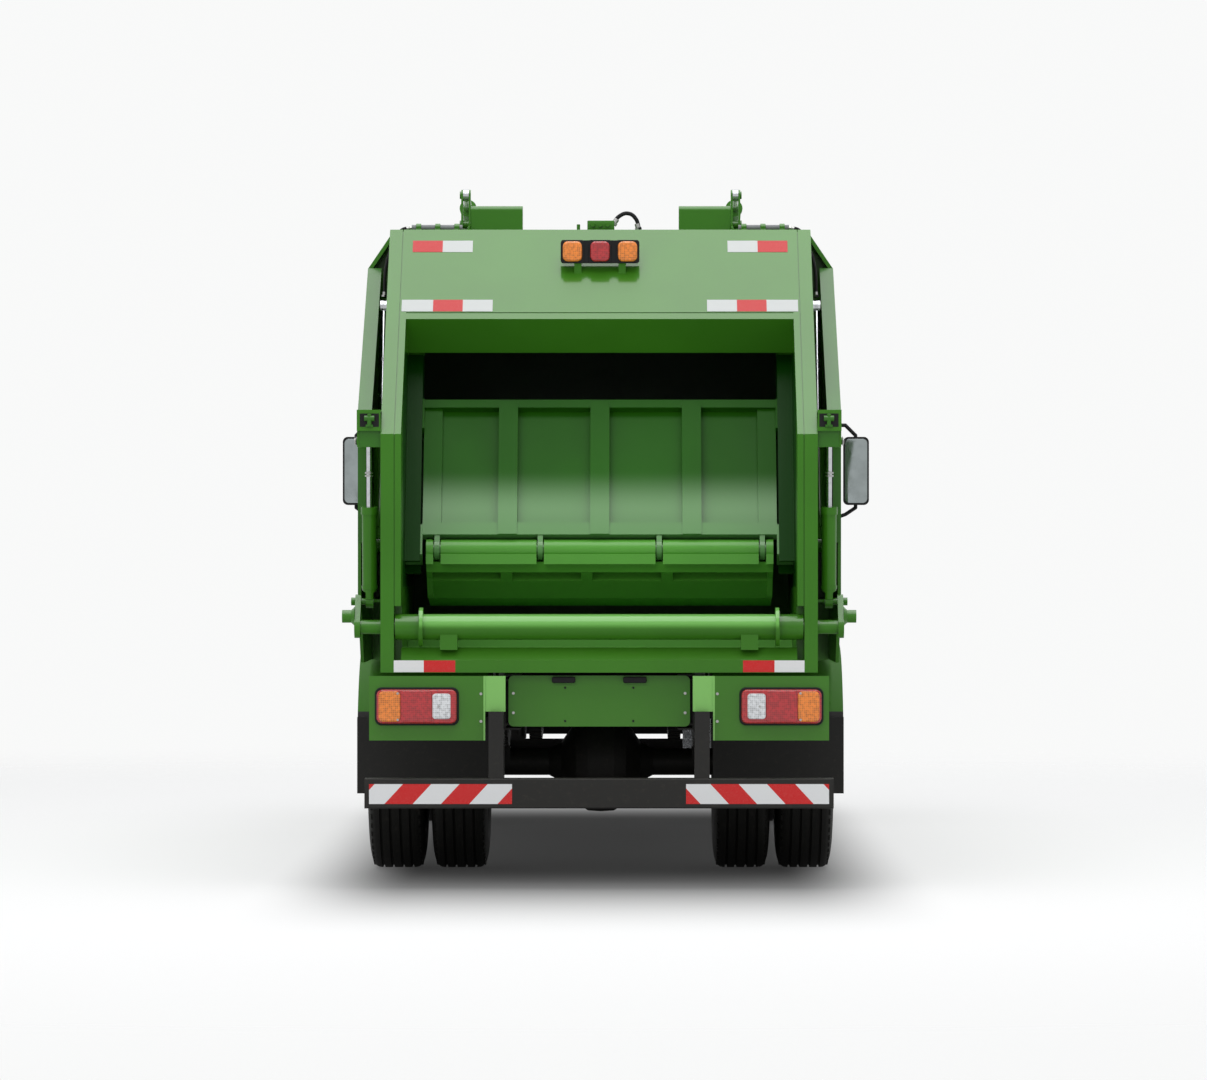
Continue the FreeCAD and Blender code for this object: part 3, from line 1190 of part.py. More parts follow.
def screen_y(z):
    """How far forward the windscreen's outer face is at height z."""
    return cab_front_y - (z - waist_z) * 150.0 / 750.0


def make_cab_shape():
    outer = cab_profile(0, cab_bottom).extrude(V(2 * cab_half_width, 0, 0))
    outer = rounded(outer, 42, lambda edge: abs(abs(edge.CenterOfMass.x) - cab_half_width) < 1e-3
                    and edge.CenterOfMass.z > cab_bottom + 1)
    inner = cab_profile(cab_wall, cab_floor).extrude(V(2 * (cab_half_width - cab_wall), 0, 0))
    return outer.cut(inner)


def door_region(inset):
    x0 = cab_half_width - cab_wall - 2
    y0 = door_rear_y + inset
    y1 = door_front_y - inset
    z0 = door_bottom + inset
    z1 = door_top - inset
    region = block(x0, cab_half_width + 30, y0, y1, z0, z1)
    return rounded(region, 60 - inset / 2, runs_along(X_AXIS))


def door_window(depth):
    """Side window opening, its front edge leaning with the windscreen."""
    x0, x1 = depth
    points = [(door_rear_y + 90, window_bottom), (door_front_y - 60, window_bottom),
              (door_front_y - 150, door_top - 100), (door_rear_y + 90, door_top - 100)]
    return rounded(side_prism(points, x0, x1), 35, runs_along(X_AXIS))


def make_cab():
    shell = make_cab_shape()
    cover = block(-tunnel_half - tunnel_wall, tunnel_half + tunnel_wall, cab_rear_y + cab_wall - 1,
                  tunnel_front + tunnel_wall, cab_floor - 1, tunnel_top + tunnel_wall)
    shell = shell.fuse(cover)
    shell = shell.cut(block(-tunnel_half, tunnel_half, cab_rear_y - 1, tunnel_front, cab_bottom - 1, tunnel_top))
    for side in (-1, 1):
        inner = front_wheel_x - 370
        low = inner if side > 0 else -cab_half_width - 10
        arch = cross_rod(low, low + cab_half_width + 10 - inner, front_axle_y, tyre_radius, arch_radius)
        shell = shell.cut(arch)
        notch = block(354, 466, cab_hinge_y - 62, cab_hinge_y + 62, cab_bottom - 1, cab_hinge_z + 62)
        shell = shell.cut(notch if side > 0 else mirrored(notch))
        region = door_region(0)
        shell = shell.cut(region if side > 0 else mirrored(region))
    screen = rounded(block(-screen_half, screen_half, cab_front_y - 400, cab_front_y + 10, screen_low, screen_high), 60,
                     runs_along(Y_AXIS))
    rear_low, rear_high = waist_z + 130, waist_z + 610
    rear_window = rounded(block(-520, 520, cab_rear_y - 10, cab_rear_y + cab_wall + 10, rear_low, rear_high), 50,
                          runs_along(Y_AXIS))
    quarter_rear, quarter_front = cab_rear_y + 230, door_rear_y - 150
    quarter_low, quarter_high = waist_z + 80, screen_high + 5
    quarter = rounded(block(-cab_half_width - 10, cab_half_width + 10, quarter_rear, quarter_front, quarter_low,
                            quarter_high), 55, runs_along(X_AXIS))
    mouth = rounded(block(-grille_half - 6, grille_half + 6, cab_front_y - 25, cab_front_y + 10, grille_low - 6,
                          grille_high + 6), 30, runs_along(Y_AXIS))
    for opening in (screen, rear_window, quarter, mouth):
        shell = shell.cut(opening)
    lug_x = 436.0
    for side in (-1, 1):
        lug = link_plate((cab_hinge_y, cab_hinge_z), (cab_hinge_y, cab_hinge_z + 90), 30, 30, lug_x, lug_x + 22)
        lug = lug.cut(cross_rod(lug_x - 1, lug_x + 23, cab_hinge_y, cab_hinge_z, cab_pin_radius + pin_gap))
        shell = shell.fuse(lug if side > 0 else mirrored(lug))
    shell = shell.removeSplitter()
    above = block(-cab_half_width - 50, cab_half_width + 50, cab_rear_y - 50, cab_front_y + 50, roof_seam_z, cab_top + 50)
    save("cab_roof", shell.common(above))
    save("cab_shell", shell.cut(above))
    glass = 6.0
    set_in = 12.0
    foot_y, head_y = screen_y(screen_low) - set_in, screen_y(screen_high) - set_in
    sheet = side_prism([(foot_y, screen_low), (head_y, screen_high), (head_y - glass, screen_high),
                        (foot_y - glass, screen_low)], -screen_half, screen_half)
    sheet = sheet.common(screen)
    rear_sheet = rear_window.common(block(-600, 600, cab_rear_y + set_in, cab_rear_y + set_in + glass, rear_low, rear_high))
    side_x = cab_half_width - 18
    side_sheet = quarter.common(block(side_x, side_x + glass, quarter_rear, quarter_front, quarter_low, quarter_high))
    save("cab_glass", Part.makeCompound([sheet, rear_sheet, side_sheet, mirrored(side_sheet)]))


def make_doors():
    shell = make_cab_shape()
    door = shell.common(door_region(door_gap))
    door = door.cut(door_window((cab_half_width - cab_wall - 5, cab_half_width + 10)))
    handle_z = window_bottom - 140
    handle = rounded_block(cab_half_width - 1, cab_half_width + 32, door_rear_y + 60, door_rear_y + 220, handle_z,
                           handle_z + 32, 12, Y_AXIS)
    inner_grip = block(cab_half_width - 2, cab_half_width + 16, door_rear_y + 84, door_rear_y + 196, handle_z - 10,
                       handle_z + 40)
    door = door.fuse(handle.cut(inner_grip))
    for z in (door_bottom + 165, window_bottom - 90):
        strap = rounded_block(cab_half_width - 1, cab_half_width + 14, door_front_y - 120, door_front_y - 8, z, z + 60, 6,
                              Z_AXIS)
        door = door.fuse(strap)
    door = door.removeSplitter()
    save("door_right", door)
    save("door_left", mirrored(door))
    side_x = cab_half_width - 18
    glass = door_window((side_x, side_x + 5))
    save("door_glass_right", glass)
    save("door_glass_left", mirrored(glass))


def make_grille():
    """Grille frame with leaning slats, let into the cab's nose."""
    half = grille_half
    low, high = grille_low, grille_high
    back = cab_front_y - 25
    bar = 34.0
    frame = rounded(block(-half, half, back, cab_front_y, low, high), 26, runs_along(Y_AXIS))
    frame = frame.cut(block(-half + bar, half - bar, back - 1, cab_front_y + 1, low + bar, high - bar))
    slats = []
    count = 7
    pitch = (high - low - 2 * bar) / (count + 1)
    for index in range(count):
        z = low + bar + (index + 1) * pitch - 10
        slats.append(side_prism([(back, z + 10), (back + 20, z - 4), (back + 20, z + 10), (back, z + 24)],
                                -half + bar - 2, half - bar + 2))
    uprights = [block(x - 12, x + 12, back, back + 12, low + bar - 2, high - bar + 2) for x in (-330, 330)]
    save("grille", fused(frame, *slats, *uprights))


def make_interior():
    """Two seats, and the dashboard with the steering wheel on its column."""
    seat_rear = cab_rear_y + 480
    cushion_z = cab_floor + 310
    def seat(x):
        half = 240.0
        base = rounded_block(x - 190, x + 190, seat_rear + 70, seat_rear + 470, cab_floor, cushion_z + 2, 20, Z_AXIS)
        cushion = block(x - half, x + half, seat_rear, seat_rear + 530, cushion_z, cushion_z + 120)
        cushion = cushion.makeChamfer(34, [edge for edge in cushion.Edges if edge.CenterOfMass.z > cushion_z + 30])
        back = side_prism([(seat_rear + 15, cushion_z + 80), (seat_rear + 135, cushion_z + 100),
                           (seat_rear + 40, cushion_z + 740), (seat_rear - 60, cushion_z + 725)], x - half, x + half)
        back = back.makeChamfer(26, [edge for edge in back.Edges if edge.CenterOfMass.z > cushion_z + 110])
        return fused(base, cushion, back)
    save("seats", both_sides(seat(driver_x)))
    front = cab_front_y - cab_wall
    half = cab_half_width - cab_wall - 6
    dash_low = cab_floor + 150
    dash_rear = cab_front_y - 330
    dash = side_prism([(front, dash_low), (front, waist_z - 2), (front - 90, waist_z + 32), (dash_rear + 50, waist_z - 20),
                       (dash_rear, waist_z - 110), (dash_rear + 20, waist_z - 280), (dash_rear + 150, dash_low)],
                      -half, half)
    dash = rounded(dash, 30, lambda edge: runs_along(X_AXIS)(edge) and edge.CenterOfMass.y < front - 60)
    tilt = V(0, -0.42, 0.907)
    centre = V(-driver_x, dash_rear - 240, waist_z - 30)
    column_foot = V(-driver_x, dash_rear + 40, waist_z - 160)
    column = rod_between(centre - tilt * 30, column_foot, 30)
    hub_part = Part.makeCylinder(62, 34, centre - tilt * 46, tilt)
    spokes = []
    for turn in (90, 210, 330):
        direction = V(cos(radians(turn)), 0.907 * sin(radians(turn)), 0.42 * sin(radians(turn)))
        spokes.append(rod_between(centre - tilt * 24, centre + direction * 214, 13))
    save("dashboard", fused(dash, wheel_rim(centre, tilt, 220, 17), hub_part, column, *spokes))


def wheel_rim(centre, axis, radius, thickness):
    """Steering wheel rim: an eight-sided section turned about the axis."""
    corners = []
    for index in range(8):
        turn = 2 * pi * (index + 0.5) / 8
        corners.append(centre + X_AXIS * (radius + thickness * cos(turn)) + axis * (thickness * sin(turn)))
    return Part.Face(Part.makePolygon(corners + [corners[0]])).revolve(centre, axis, 360)


def make_mirrors():
    """Right mirror head on a bent arm from the cab corner, and its mirror image."""
    head = block(mirror_x - mirror_width / 2, mirror_x + mirror_width / 2, mirror_y - 25, mirror_y + 45,
                 mirror_z - mirror_height / 2, mirror_z + mirror_height / 2)
    head = rounded(head, 30, runs_along(Y_AXIS))
    head = head.makeChamfer(16, [edge for edge in head.Edges if edge.CenterOfMass.y > mirror_y + 44])
    pipe = 11.0
    top_z = mirror_z + mirror_height / 2 + 50
    low_z = mirror_z - mirror_height / 2 - 55
    y = mirror_y + 62
    points = [V(cab_half_width + 4, y, top_z + 20), V(mirror_x - 60, y, top_z + 20), V(mirror_x, y, top_z - 40),
              V(mirror_x, y, low_z + 40), V(mirror_x - 60, y, low_z), V(cab_half_width + 4, y, low_z - 90)]
    pieces = [rod_between(a, b, pipe) for a, b in zip(points[:-1], points[1:])]
    pieces += [Part.makeSphere(pipe, point) for point in points[1:-1]]
    for z in (mirror_z - 110, mirror_z + 90):
        pieces.append(block(mirror_x - 22, mirror_x + 22, mirror_y + 40, y + 12, z, z + 30))
    for point in (points[0], points[-1]):
        pieces.append(block(cab_half_width, cab_half_width + 12, point.y - 19, point.y + 19, point.z - 36, point.z + 36))
    right = fused(head, *pieces)
    save("mirrors", both_sides(right))


def make_front_bumper():
    """Front bumper with lamp recesses and a tow cut-out, and the step boxes behind its ends."""
    back = front_y - 145
    low, high = bumper_low, bumper_low + 400
    nose_half = cab_half_width - 110
    outline = [(-cab_half_width, back), (-cab_half_width, front_y - 80), (-nose_half, front_y), (nose_half, front_y),
               (cab_half_width, front_y - 80), (cab_half_width, back)]
    beam = plan_prism(outline, low, high)
    beam = rounded(beam, 26, lambda edge: edge.CenterOfMass.y > front_y - 45
                   and abs(edge.CenterOfMass.z - low - 200) > 199)
    beam = beam.cut(block(-110, 110, back - 1, front_y + 1, low + 240, high + 1))
    for x0 in (head_lamp_x - 4, -head_lamp_x - 284):
        beam = beam.cut(rounded_block(x0, x0 + 288, front_y - 74, front_y + 1, low + 166, low + 334, 32, Y_AXIS))
    beam = beam.cut(block(-480, 480, front_y - 30, front_y + 1, low + 50, low + 150))
    bracket = block(frame_half_width - frame_flange, frame_half_width, frame_front_y, back + 1, frame_bottom + 30,
                    frame_bottom + 130)
    save("front_bumper", fused(beam, bracket, mirrored(bracket)))
    step_rear = back - 605
    tread_front = back - 105
    step_x = cab_half_width - 340
    step = block(step_x, cab_half_width, step_rear, back, low, low + 450)
    for tread_low, tread_high in ((low + 40, low + 190), (low + 220, low + 420)):
        step = step.cut(block(step_x + 80, cab_half_width + 1, step_rear + 70, tread_front, tread_low, tread_high))
    arm = block(frame_half_width, step_x + 1, back - 60, back, frame_bottom + 30, frame_bottom + 130)
    save("step_boxes", both_sides(fused(step, arm)))


os.makedirs("parts", exist_ok=True)
make_wheels()
make_front_axle()
make_rear_axle()
make_steering()
front_eye_z, rear_eye_z = make_springs()
make_frame(front_eye_z, rear_eye_z)
make_tow_jaw()
make_driveline()
make_fuel_tank()
make_battery_and_air_tanks()
make_side_guards()
make_rear_bumper()
make_lamp_panels()
make_lamps()
make_mudguards()
make_body()
make_ejector()
make_tailgate_shell()
make_mouth_columns()
make_hopper_trough()
make_light_bar()
make_carriage()
make_blade()
make_cylinders()
make_tipper()
make_cab()
make_doors()
make_grille()
make_interior()
make_mirrors()
make_front_bumper()
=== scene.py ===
from math import cos, exp, hypot, pi, radians, sin, sqrt

import bmesh
import bpy
from mathutils import Matrix, Vector


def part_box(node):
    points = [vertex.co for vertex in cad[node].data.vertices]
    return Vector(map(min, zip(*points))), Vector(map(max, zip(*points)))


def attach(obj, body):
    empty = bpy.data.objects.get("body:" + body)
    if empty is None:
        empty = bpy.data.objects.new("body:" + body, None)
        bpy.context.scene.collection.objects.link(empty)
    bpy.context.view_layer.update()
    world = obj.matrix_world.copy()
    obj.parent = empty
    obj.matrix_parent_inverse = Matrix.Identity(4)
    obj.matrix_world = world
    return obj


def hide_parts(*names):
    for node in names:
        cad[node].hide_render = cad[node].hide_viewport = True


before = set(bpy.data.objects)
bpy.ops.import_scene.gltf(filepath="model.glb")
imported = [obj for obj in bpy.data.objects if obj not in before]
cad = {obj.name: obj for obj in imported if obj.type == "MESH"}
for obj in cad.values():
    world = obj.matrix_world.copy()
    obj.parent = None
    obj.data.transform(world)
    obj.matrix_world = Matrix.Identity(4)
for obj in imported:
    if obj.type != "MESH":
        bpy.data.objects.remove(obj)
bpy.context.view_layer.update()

X = Vector((1, 0, 0))
Y = Vector((0, 1, 0))
Z = Vector((0, 0, 1))

# Shader maths

class Socket:
    """An output of a material's node. Sums and products with it add Math nodes."""

    def __init__(self, shader, socket):
        self.shader = shader
        self.socket = socket

    def maths(self, operation, first, second=None):
        values = {0: first} if second is None else {0: first, 1: second}
        return self.shader.node("ShaderNodeMath", {"operation": operation}, values)

    def __add__(self, other):
        return self.maths("ADD", self, other)

    def __radd__(self, other):
        return self.maths("ADD", other, self)

    def __sub__(self, other):
        return self.maths("SUBTRACT", self, other)

    def __mul__(self, other):
        return self.maths("MULTIPLY", self, other)

    def __rmul__(self, other):
        return self.maths("MULTIPLY", other, self)

    def __truediv__(self, other):
        return self.maths("DIVIDE", self, other)

    def __pow__(self, other):
        return self.maths("POWER", self, other)

    def __gt__(self, other):
        return self.maths("GREATER_THAN", self, other)

    def __lt__(self, other):
        return self.maths("LESS_THAN", self, other)

    def absolute(self):
        return self.maths("ABSOLUTE", self)

    def sine(self):
        return self.maths("SINE", self)

    def fraction(self):
        return self.maths("FRACT", self)

    def largest(self, other):
        return self.maths("MAXIMUM", self, other)

    def ramp(self, low, high, start=0.0, end=1.0):
        """Goes smoothly from start to end as the value goes from low to high."""
        values = {"Value": self, "From Min": low, "From Max": high, "To Min": start, "To Max": end}
        return self.shader.node("ShaderNodeMapRange", {"interpolation_type": "SMOOTHSTEP"}, values)


class Shader:
    """A material with one Principled surface."""

    def __init__(self, name):
        self.material = bpy.data.materials.new(name)
        self.material.use_nodes = True
        self.tree = self.material.node_tree
        self.surface = self.tree.nodes["Principled BSDF"]
        self.place = self.node("ShaderNodeTexCoord", output="Object")

    def node(self, kind, settings=None, inputs=None, output=0):
        node = self.tree.nodes.new(kind)
        for key, value in (settings or {}).items():
            setattr(node, key, value)
        for key, value in (inputs or {}).items():
            self.feed(node.inputs[key], value)
        return Socket(self, node.outputs[output])

    def feed(self, socket, value):
        if isinstance(value, Socket):
            self.tree.links.new(value.socket, socket)
        else:
            socket.default_value = value

    def set(self, **values):
        for key, value in values.items():
            self.feed(self.surface.inputs[key.replace("_", " ")], value)
        return self.material

    def axes(self):
        split = self.tree.nodes.new("ShaderNodeSeparateXYZ")
        self.feed(split.inputs[0], self.place)
        return [Socket(self, output) for output in split.outputs]

    def up(self):
        """How far the surface faces the sky, from -1 to 1."""
        facing = self.node("ShaderNodeTexCoord", output="Normal")
        split = self.tree.nodes.new("ShaderNodeSeparateXYZ")
        self.feed(split.inputs[0], facing)
        return Socket(self, split.outputs[2])

    def noise(self, scale, detail=3.0, roughness=0.5, stretch=None):
        at = self.place
        if stretch:
            at = self.node("ShaderNodeMapping", inputs={"Vector": at, "Scale": stretch})
        values = {"Vector": at, "Scale": scale, "Detail": detail, "Roughness": roughness}
        return self.node("ShaderNodeTexNoise", inputs=values)

    def mix(self, first, second, share):
        """Colour mix: the first where share is 0, the second where it is 1."""
        node = self.tree.nodes.new("ShaderNodeMix")
        node.data_type = "RGBA"
        self.feed(node.inputs[0], share)
        self.feed(node.inputs[6], first)
        self.feed(node.inputs[7], second)
        return Socket(self, node.outputs[2])

    def bump(self, height, strength, distance):
        values = {"Height": height, "Strength": strength, "Distance": distance}
        return self.node("ShaderNodeBump", inputs=values)


def linear(red, green, blue):
    """An sRGB colour, 0 to 255, as linear values with alpha 1."""
    def one(value):
        value /= 255
        return value / 12.92 if value <= 0.04045 else ((value + 0.055) / 1.055) ** 2.4
    return (one(red), one(green), one(blue), 1.0)


dust = linear(126, 118, 98)


def paint(name, colour, roughness=0.32, coat=0.35, dirt=0.25, shade=0.12, shine=0.3, second=None, where=None,
          second_coat=None):
    """Sprayed paint: faint colour drift, orange peel, and dust on what faces up and low down.

    A second colour goes where(x, y, z) is 1, with a clear coat of its own if second_coat is given.
    """
    shader = Shader(name)
    x, y, z = shader.axes()
    drift = shader.noise(1.7, 4.0).ramp(0.3, 0.7)
    dark = tuple(value * (1 - shade) for value in colour[:3]) + (1.0,)
    base = shader.mix(dark, colour, drift)
    if where:
        share = where(x, y, z)
        base = shader.mix(base, second, share)
        if second_coat is not None:
            coat = coat + (second_coat - coat) * share
    specks = shader.noise(38.0, 5.0, 0.65).ramp(0.52, 0.78)
    low = z.ramp(1.3, 0.45)
    coat = coat * shader.up().ramp(0.0, 0.45, 0.25, 1.0)
    upward = shader.up().ramp(0.55, 0.98)
    dusty = (upward * 0.5 + low * 0.7) * (0.35 + 0.65 * specks) * dirt
    base = shader.mix(base, dust, dusty)
    rough = roughness + 0.08 * shader.noise(9.0, 4.0) + dusty * 0.5
    peel = shader.noise(420.0, 2.0)
    ripple = shader.noise(6.0, 2.0)
    normal = shader.bump(peel * 0.25 + ripple, 0.18, 0.0012)
    return shader.set(Base_Color=base, Roughness=rough, Coat_Weight=coat, Coat_Roughness=0.12,
                      Normal=normal, Specular_IOR_Level=shine)


def moulded(name, colour, roughness=0.5, grain=260.0):
    """Moulded plastic or rubber with a fine grain."""
    shader = Shader(name)
    drift = shader.noise(6.0, 4.0)
    pale = tuple(min(1.0, value * 1.5 + 0.003) for value in colour[:3]) + (1.0,)
    base = shader.mix(colour, pale, drift.ramp(0.35, 0.8) * 0.5)
    rough = roughness + 0.14 * (shader.noise(21.0, 3.0) - 0.5)
    normal = shader.bump(shader.noise(grain, 3.0), 0.25, 0.0006)
    return shader.set(Base_Color=base, Roughness=rough, Normal=normal, Specular_IOR_Level=0.2)


def bare_metal(name, colour, roughness=0.2, stretch=(1, 1, 1), scale=90.0):
    """Metal with fine scratches, drawn out along an axis where stretch is small."""
    shader = Shader(name)
    scratch = shader.noise(scale, 4.0, 0.6, stretch)
    dull = tuple(value * 0.72 for value in colour[:3]) + (1.0,)
    base = shader.mix(colour, dull, scratch.ramp(0.4, 0.75) * 0.7)
    rough = roughness + 0.22 * scratch.ramp(0.35, 0.8)
    normal = shader.bump(scratch, 0.12, 0.0004)
    return shader.set(Base_Color=base, Roughness=rough, Metallic=1.0, Normal=normal)


def lens(name, colour):
    """Moulded lamp lens: clear plastic over a coloured prism pattern."""
    shader = Shader(name)
    x, _, z = shader.axes()
    pitch = 0.009
    across, upward = (((along / pitch).fraction() - 0.5).absolute() for along in (x, z))
    height = across.largest(upward)
    glow = tuple(min(1.0, value * 1.35 + 0.008) for value in colour[:3]) + (1.0,)
    deep = tuple(value * 0.55 for value in colour[:3]) + (1.0,)
    prisms = shader.node("ShaderNodeTexVoronoi", inputs={"Vector": shader.place, "Scale": 70.0})
    base = shader.mix(shader.mix(colour, deep, prisms.ramp(0.25, 0.75)), glow, height.ramp(0.2, 0.5) * 0.6)
    normal = shader.bump(height, 0.4, 0.0012)
    return shader.set(Base_Color=base, Roughness=0.12 + 0.06 * shader.noise(30.0), Coat_Weight=0.35,
                      Coat_Roughness=0.04, Normal=normal)


def tyre_rubber(name):
    """Rubber with the tread's fine sipes and dust in its grooves."""
    shader = Shader(name)
    grime = shader.noise(26.0, 5.0, 0.6)
    base = shader.mix(linear(20, 20, 18), linear(52, 49, 44), grime.ramp(0.5, 0.85) * 0.4)
    normal = shader.bump(shader.noise(310.0, 3.0), 0.22, 0.0008)
    return shader.set(Base_Color=base, Roughness=0.72 + 0.16 * (grime - 0.5), Normal=normal,
                      Specular_IOR_Level=0.2)


def window_glass(name):
    """Thin tinted glass with a faint haze."""
    shader = Shader(name)
    haze = shader.noise(3.0, 4.0).ramp(0.45, 0.8)
    base = shader.mix(linear(150, 176, 166), linear(120, 140, 132), haze)
    shader.material.surface_render_method = "BLENDED"
    return shader.set(Base_Color=base, Roughness=0.03 + 0.05 * haze, Alpha=0.32 + 0.08 * haze)


def reflective_tape(name, colour):
    """Retro-reflective tape: a fine honeycomb under a clear film."""
    shader = Shader(name)
    cells = shader.node("ShaderNodeTexVoronoi", {"feature": "DISTANCE_TO_EDGE"},
                        {"Vector": shader.place, "Scale": 260.0})
    pale = tuple(min(1.0, value * 0.9 + 0.05) for value in colour[:3]) + (1.0,)
    base = shader.mix(pale, colour, cells.ramp(0.0, 0.12))
    rough = 0.26 + 0.1 * shader.noise(14.0, 3.0)
    return shader.set(Base_Color=base, Roughness=rough, Coat_Weight=0.12, Coat_Roughness=0.08,
                      Specular_IOR_Level=0.2)


def woven(name, colour):
    """Plain weave in two directions, with a soft sheen."""
    shader = Shader(name)
    pitch = 0.0022
    x, y, z = shader.axes()
    across = ((x + z) * (2 * pi / pitch)).sine()
    along = ((y - z) * (2 * pi / pitch)).sine()
    threads = across * along
    pale = tuple(min(1.0, value * 1.9 + 0.01) for value in colour[:3]) + (1.0,)
    base = shader.mix(colour, pale, threads.ramp(-0.6, 0.9) * 0.6)
    worn = shader.noise(11.0, 4.0)
    normal = shader.bump(threads + worn * 0.6, 0.35, 0.0006)
    return shader.set(Base_Color=base, Roughness=0.84 + 0.1 * (worn - 0.5), Sheen_Weight=0.25, Normal=normal)


# Paint zones: each gives the share of a paint's second colour at a place on its piece; several of these
# second colours are painted shade, painted light, a painted reflection or a painted highlight, as each zone
# says

def rails_painted_shade(x, y, z):
    """The carriage's rails inside the mouth, painted a dark green without clear coat as painted shade, since
    they lie in shadow.
    """
    within = (x.absolute() > 0.790) * (x.absolute() < 0.9067) * (z > 1.360) * (z < 2.438)
    return within * (y > -3.600) * (y - z > -5.740)


def carriage_painted_reflection(x, y, z):
    """The carriage's lower part, painted a paler glossy green as a painted reflection of the sky past the
    hood.
    """
    return z.ramp(1.70, 1.90, 1.0, 0.0)


def trough_painted_light(x, y, z):
    """The hopper's round floor, painted paler than the outside as painted light in its shaded hollow."""
    return (y > -3.620) * (z > 1.060)


def tube_painted_highlight(x, y, z):
    """The tipper tube's upper half between its collars, painted a paler green as a painted highlight."""
    return (x.absolute() < 0.810) * z.ramp(1.168, 1.200)


def below_the_bar(x, y, z):
    """The lamp bar's brackets, which are green."""
    return z < 2.861


def posts_painted_light(x, y, z):
    """The channels over the bumper's posts, painted a lighter green than the panels beside them as painted
    light.
    """
    return (x.absolute() > 0.420) * (x.absolute() < 0.5205)


def above_flap(x, y, z):
    """The mudguards' arches, which are green above their black flaps."""
    return z > 0.765


green = linear(56, 116, 24)
glossy = {"roughness": 0.3, "dirt": 0.2, "coat": 0.9, "shine": 0.12}
body_paint = paint("green_paint", green, **glossy)
inside_paint = paint("hopper_paint", linear(44, 104, 16), roughness=0.3, coat=0.3, dirt=0.06, shade=0.18)
# The sweep blade's green is lighter than the body's: painted light on a blade that lies in shade.
blade_paint = paint("blade_paint", linear(84, 156, 52), roughness=0.3, coat=0.3, dirt=0.06, shade=0.1)
# The tailgate's paint, with painted shade on the carriage's rails inside the mouth.
gate_paint = paint("tailgate_green_paint", green, **glossy, second=linear(12, 58, 4), where=rails_painted_shade,
                   second_coat=0.0)
# The packer carriage: a darker green without clear coat above as painted shade, and a paler glossy green low
# down as a painted reflection.
packer_paint = paint("packer_green_paint", linear(34, 92, 10), roughness=0.32, coat=0.0, dirt=0.03,
                     shade=0.2, shine=0.12, second=linear(84, 136, 72), where=carriage_painted_reflection,
                     second_coat=0.9)
# The trough's paint, with painted light on the hopper's round floor.
trough_paint = paint("trough_green_paint", green, **glossy, second=linear(120, 196, 90),
                     where=trough_painted_light, second_coat=0.2)
# The tipper tube's paint, with a painted highlight on its upper half.
tube_paint = paint("tipper_tube_paint", green, roughness=0.3, dirt=0.1, coat=0.9, shine=0.12,
                   second=linear(104, 170, 76), where=tube_painted_highlight, second_coat=0.9)
bar_paint = paint("lamp_bar_paint", linear(20, 20, 21), roughness=0.4, dirt=0.05, coat=0.05, shine=0.2,
                  second=green, where=below_the_bar)
# The lamp panels' paint, with painted light on the channels over the posts.
panel_paint = paint("panel_green_paint", green, roughness=0.3, dirt=0.15, second=linear(124, 184, 96),
                    where=posts_painted_light)
guard_black = paint("mudguard_paint", linear(24, 24, 25), roughness=0.5, coat=0.05, dirt=0.1, shine=0.25,
                    second=green, where=above_flap)
black_paint = paint("chassis_black_paint", linear(17, 17, 18), roughness=0.5, coat=0.03, dirt=0.12,
                    shine=0.2)
bumper_paint = paint("bumper_black_paint", linear(28, 28, 28), roughness=0.42, coat=0.06, dirt=0.1,
                     shine=0.25)
rim_paint = paint("rim_silver_paint", linear(150, 152, 154), roughness=0.4, coat=0.2, dirt=0.5)
guard_paint = paint("guard_grey_paint", linear(170, 172, 172), roughness=0.45, coat=0.1, dirt=0.4)
cast_metal = bare_metal("rough_casting", linear(96, 94, 92), roughness=0.5, scale=40.0)
tank_metal = bare_metal("tank_aluminium", linear(176, 178, 182), roughness=0.24, stretch=(1, 12, 1))
rod_chrome = bare_metal("rod_chrome", linear(196, 198, 202), roughness=0.12, scale=30.0)
steel = bare_metal("plated_steel", linear(168, 168, 166), roughness=0.28)
mirror_face = bare_metal("mirror_silver", linear(150, 158, 158), roughness=0.02, scale=6.0)
rubber = tyre_rubber("tyre_rubber")
black_plastic = moulded("black_plastic", linear(20, 20, 21))
hose_rubber = moulded("hose_rubber", linear(16, 16, 17), roughness=0.6, grain=420.0)
pipe_grey = moulded("pipe_grey_plastic", linear(120, 122, 124), roughness=0.5)
lamp_amber = lens("amber_lens", linear(222, 124, 36))
lamp_red = lens("red_lens", linear(170, 30, 36))
lamp_clear = lens("clear_lens", linear(206, 208, 210))
glass = window_glass("window_glass")
tape_red = reflective_tape("tape_red", linear(198, 22, 22))
tape_white = reflective_tape("tape_white", linear(220, 221, 222))
# The slope's tapes are darker copies of the sill's tapes: painted shade against the stronger light on the
# slope.
slope_red_painted_shade = reflective_tape("slope_tape_red_painted_shade", linear(180, 26, 28))
slope_white_painted_shade = reflective_tape("slope_tape_white_painted_shade", linear(184, 187, 186))
seat_cloth = woven("seat_cloth", linear(52, 54, 58))

# Shapes

def cube(bm, low, high):
    """A block between two corners."""
    low, high = Vector(low), Vector(high)
    verts = bmesh.ops.create_cube(bm, size=1)["verts"]
    bmesh.ops.scale(bm, vec=high - low, verts=verts)
    bmesh.ops.translate(bm, vec=(low + high) / 2, verts=verts)
    return verts


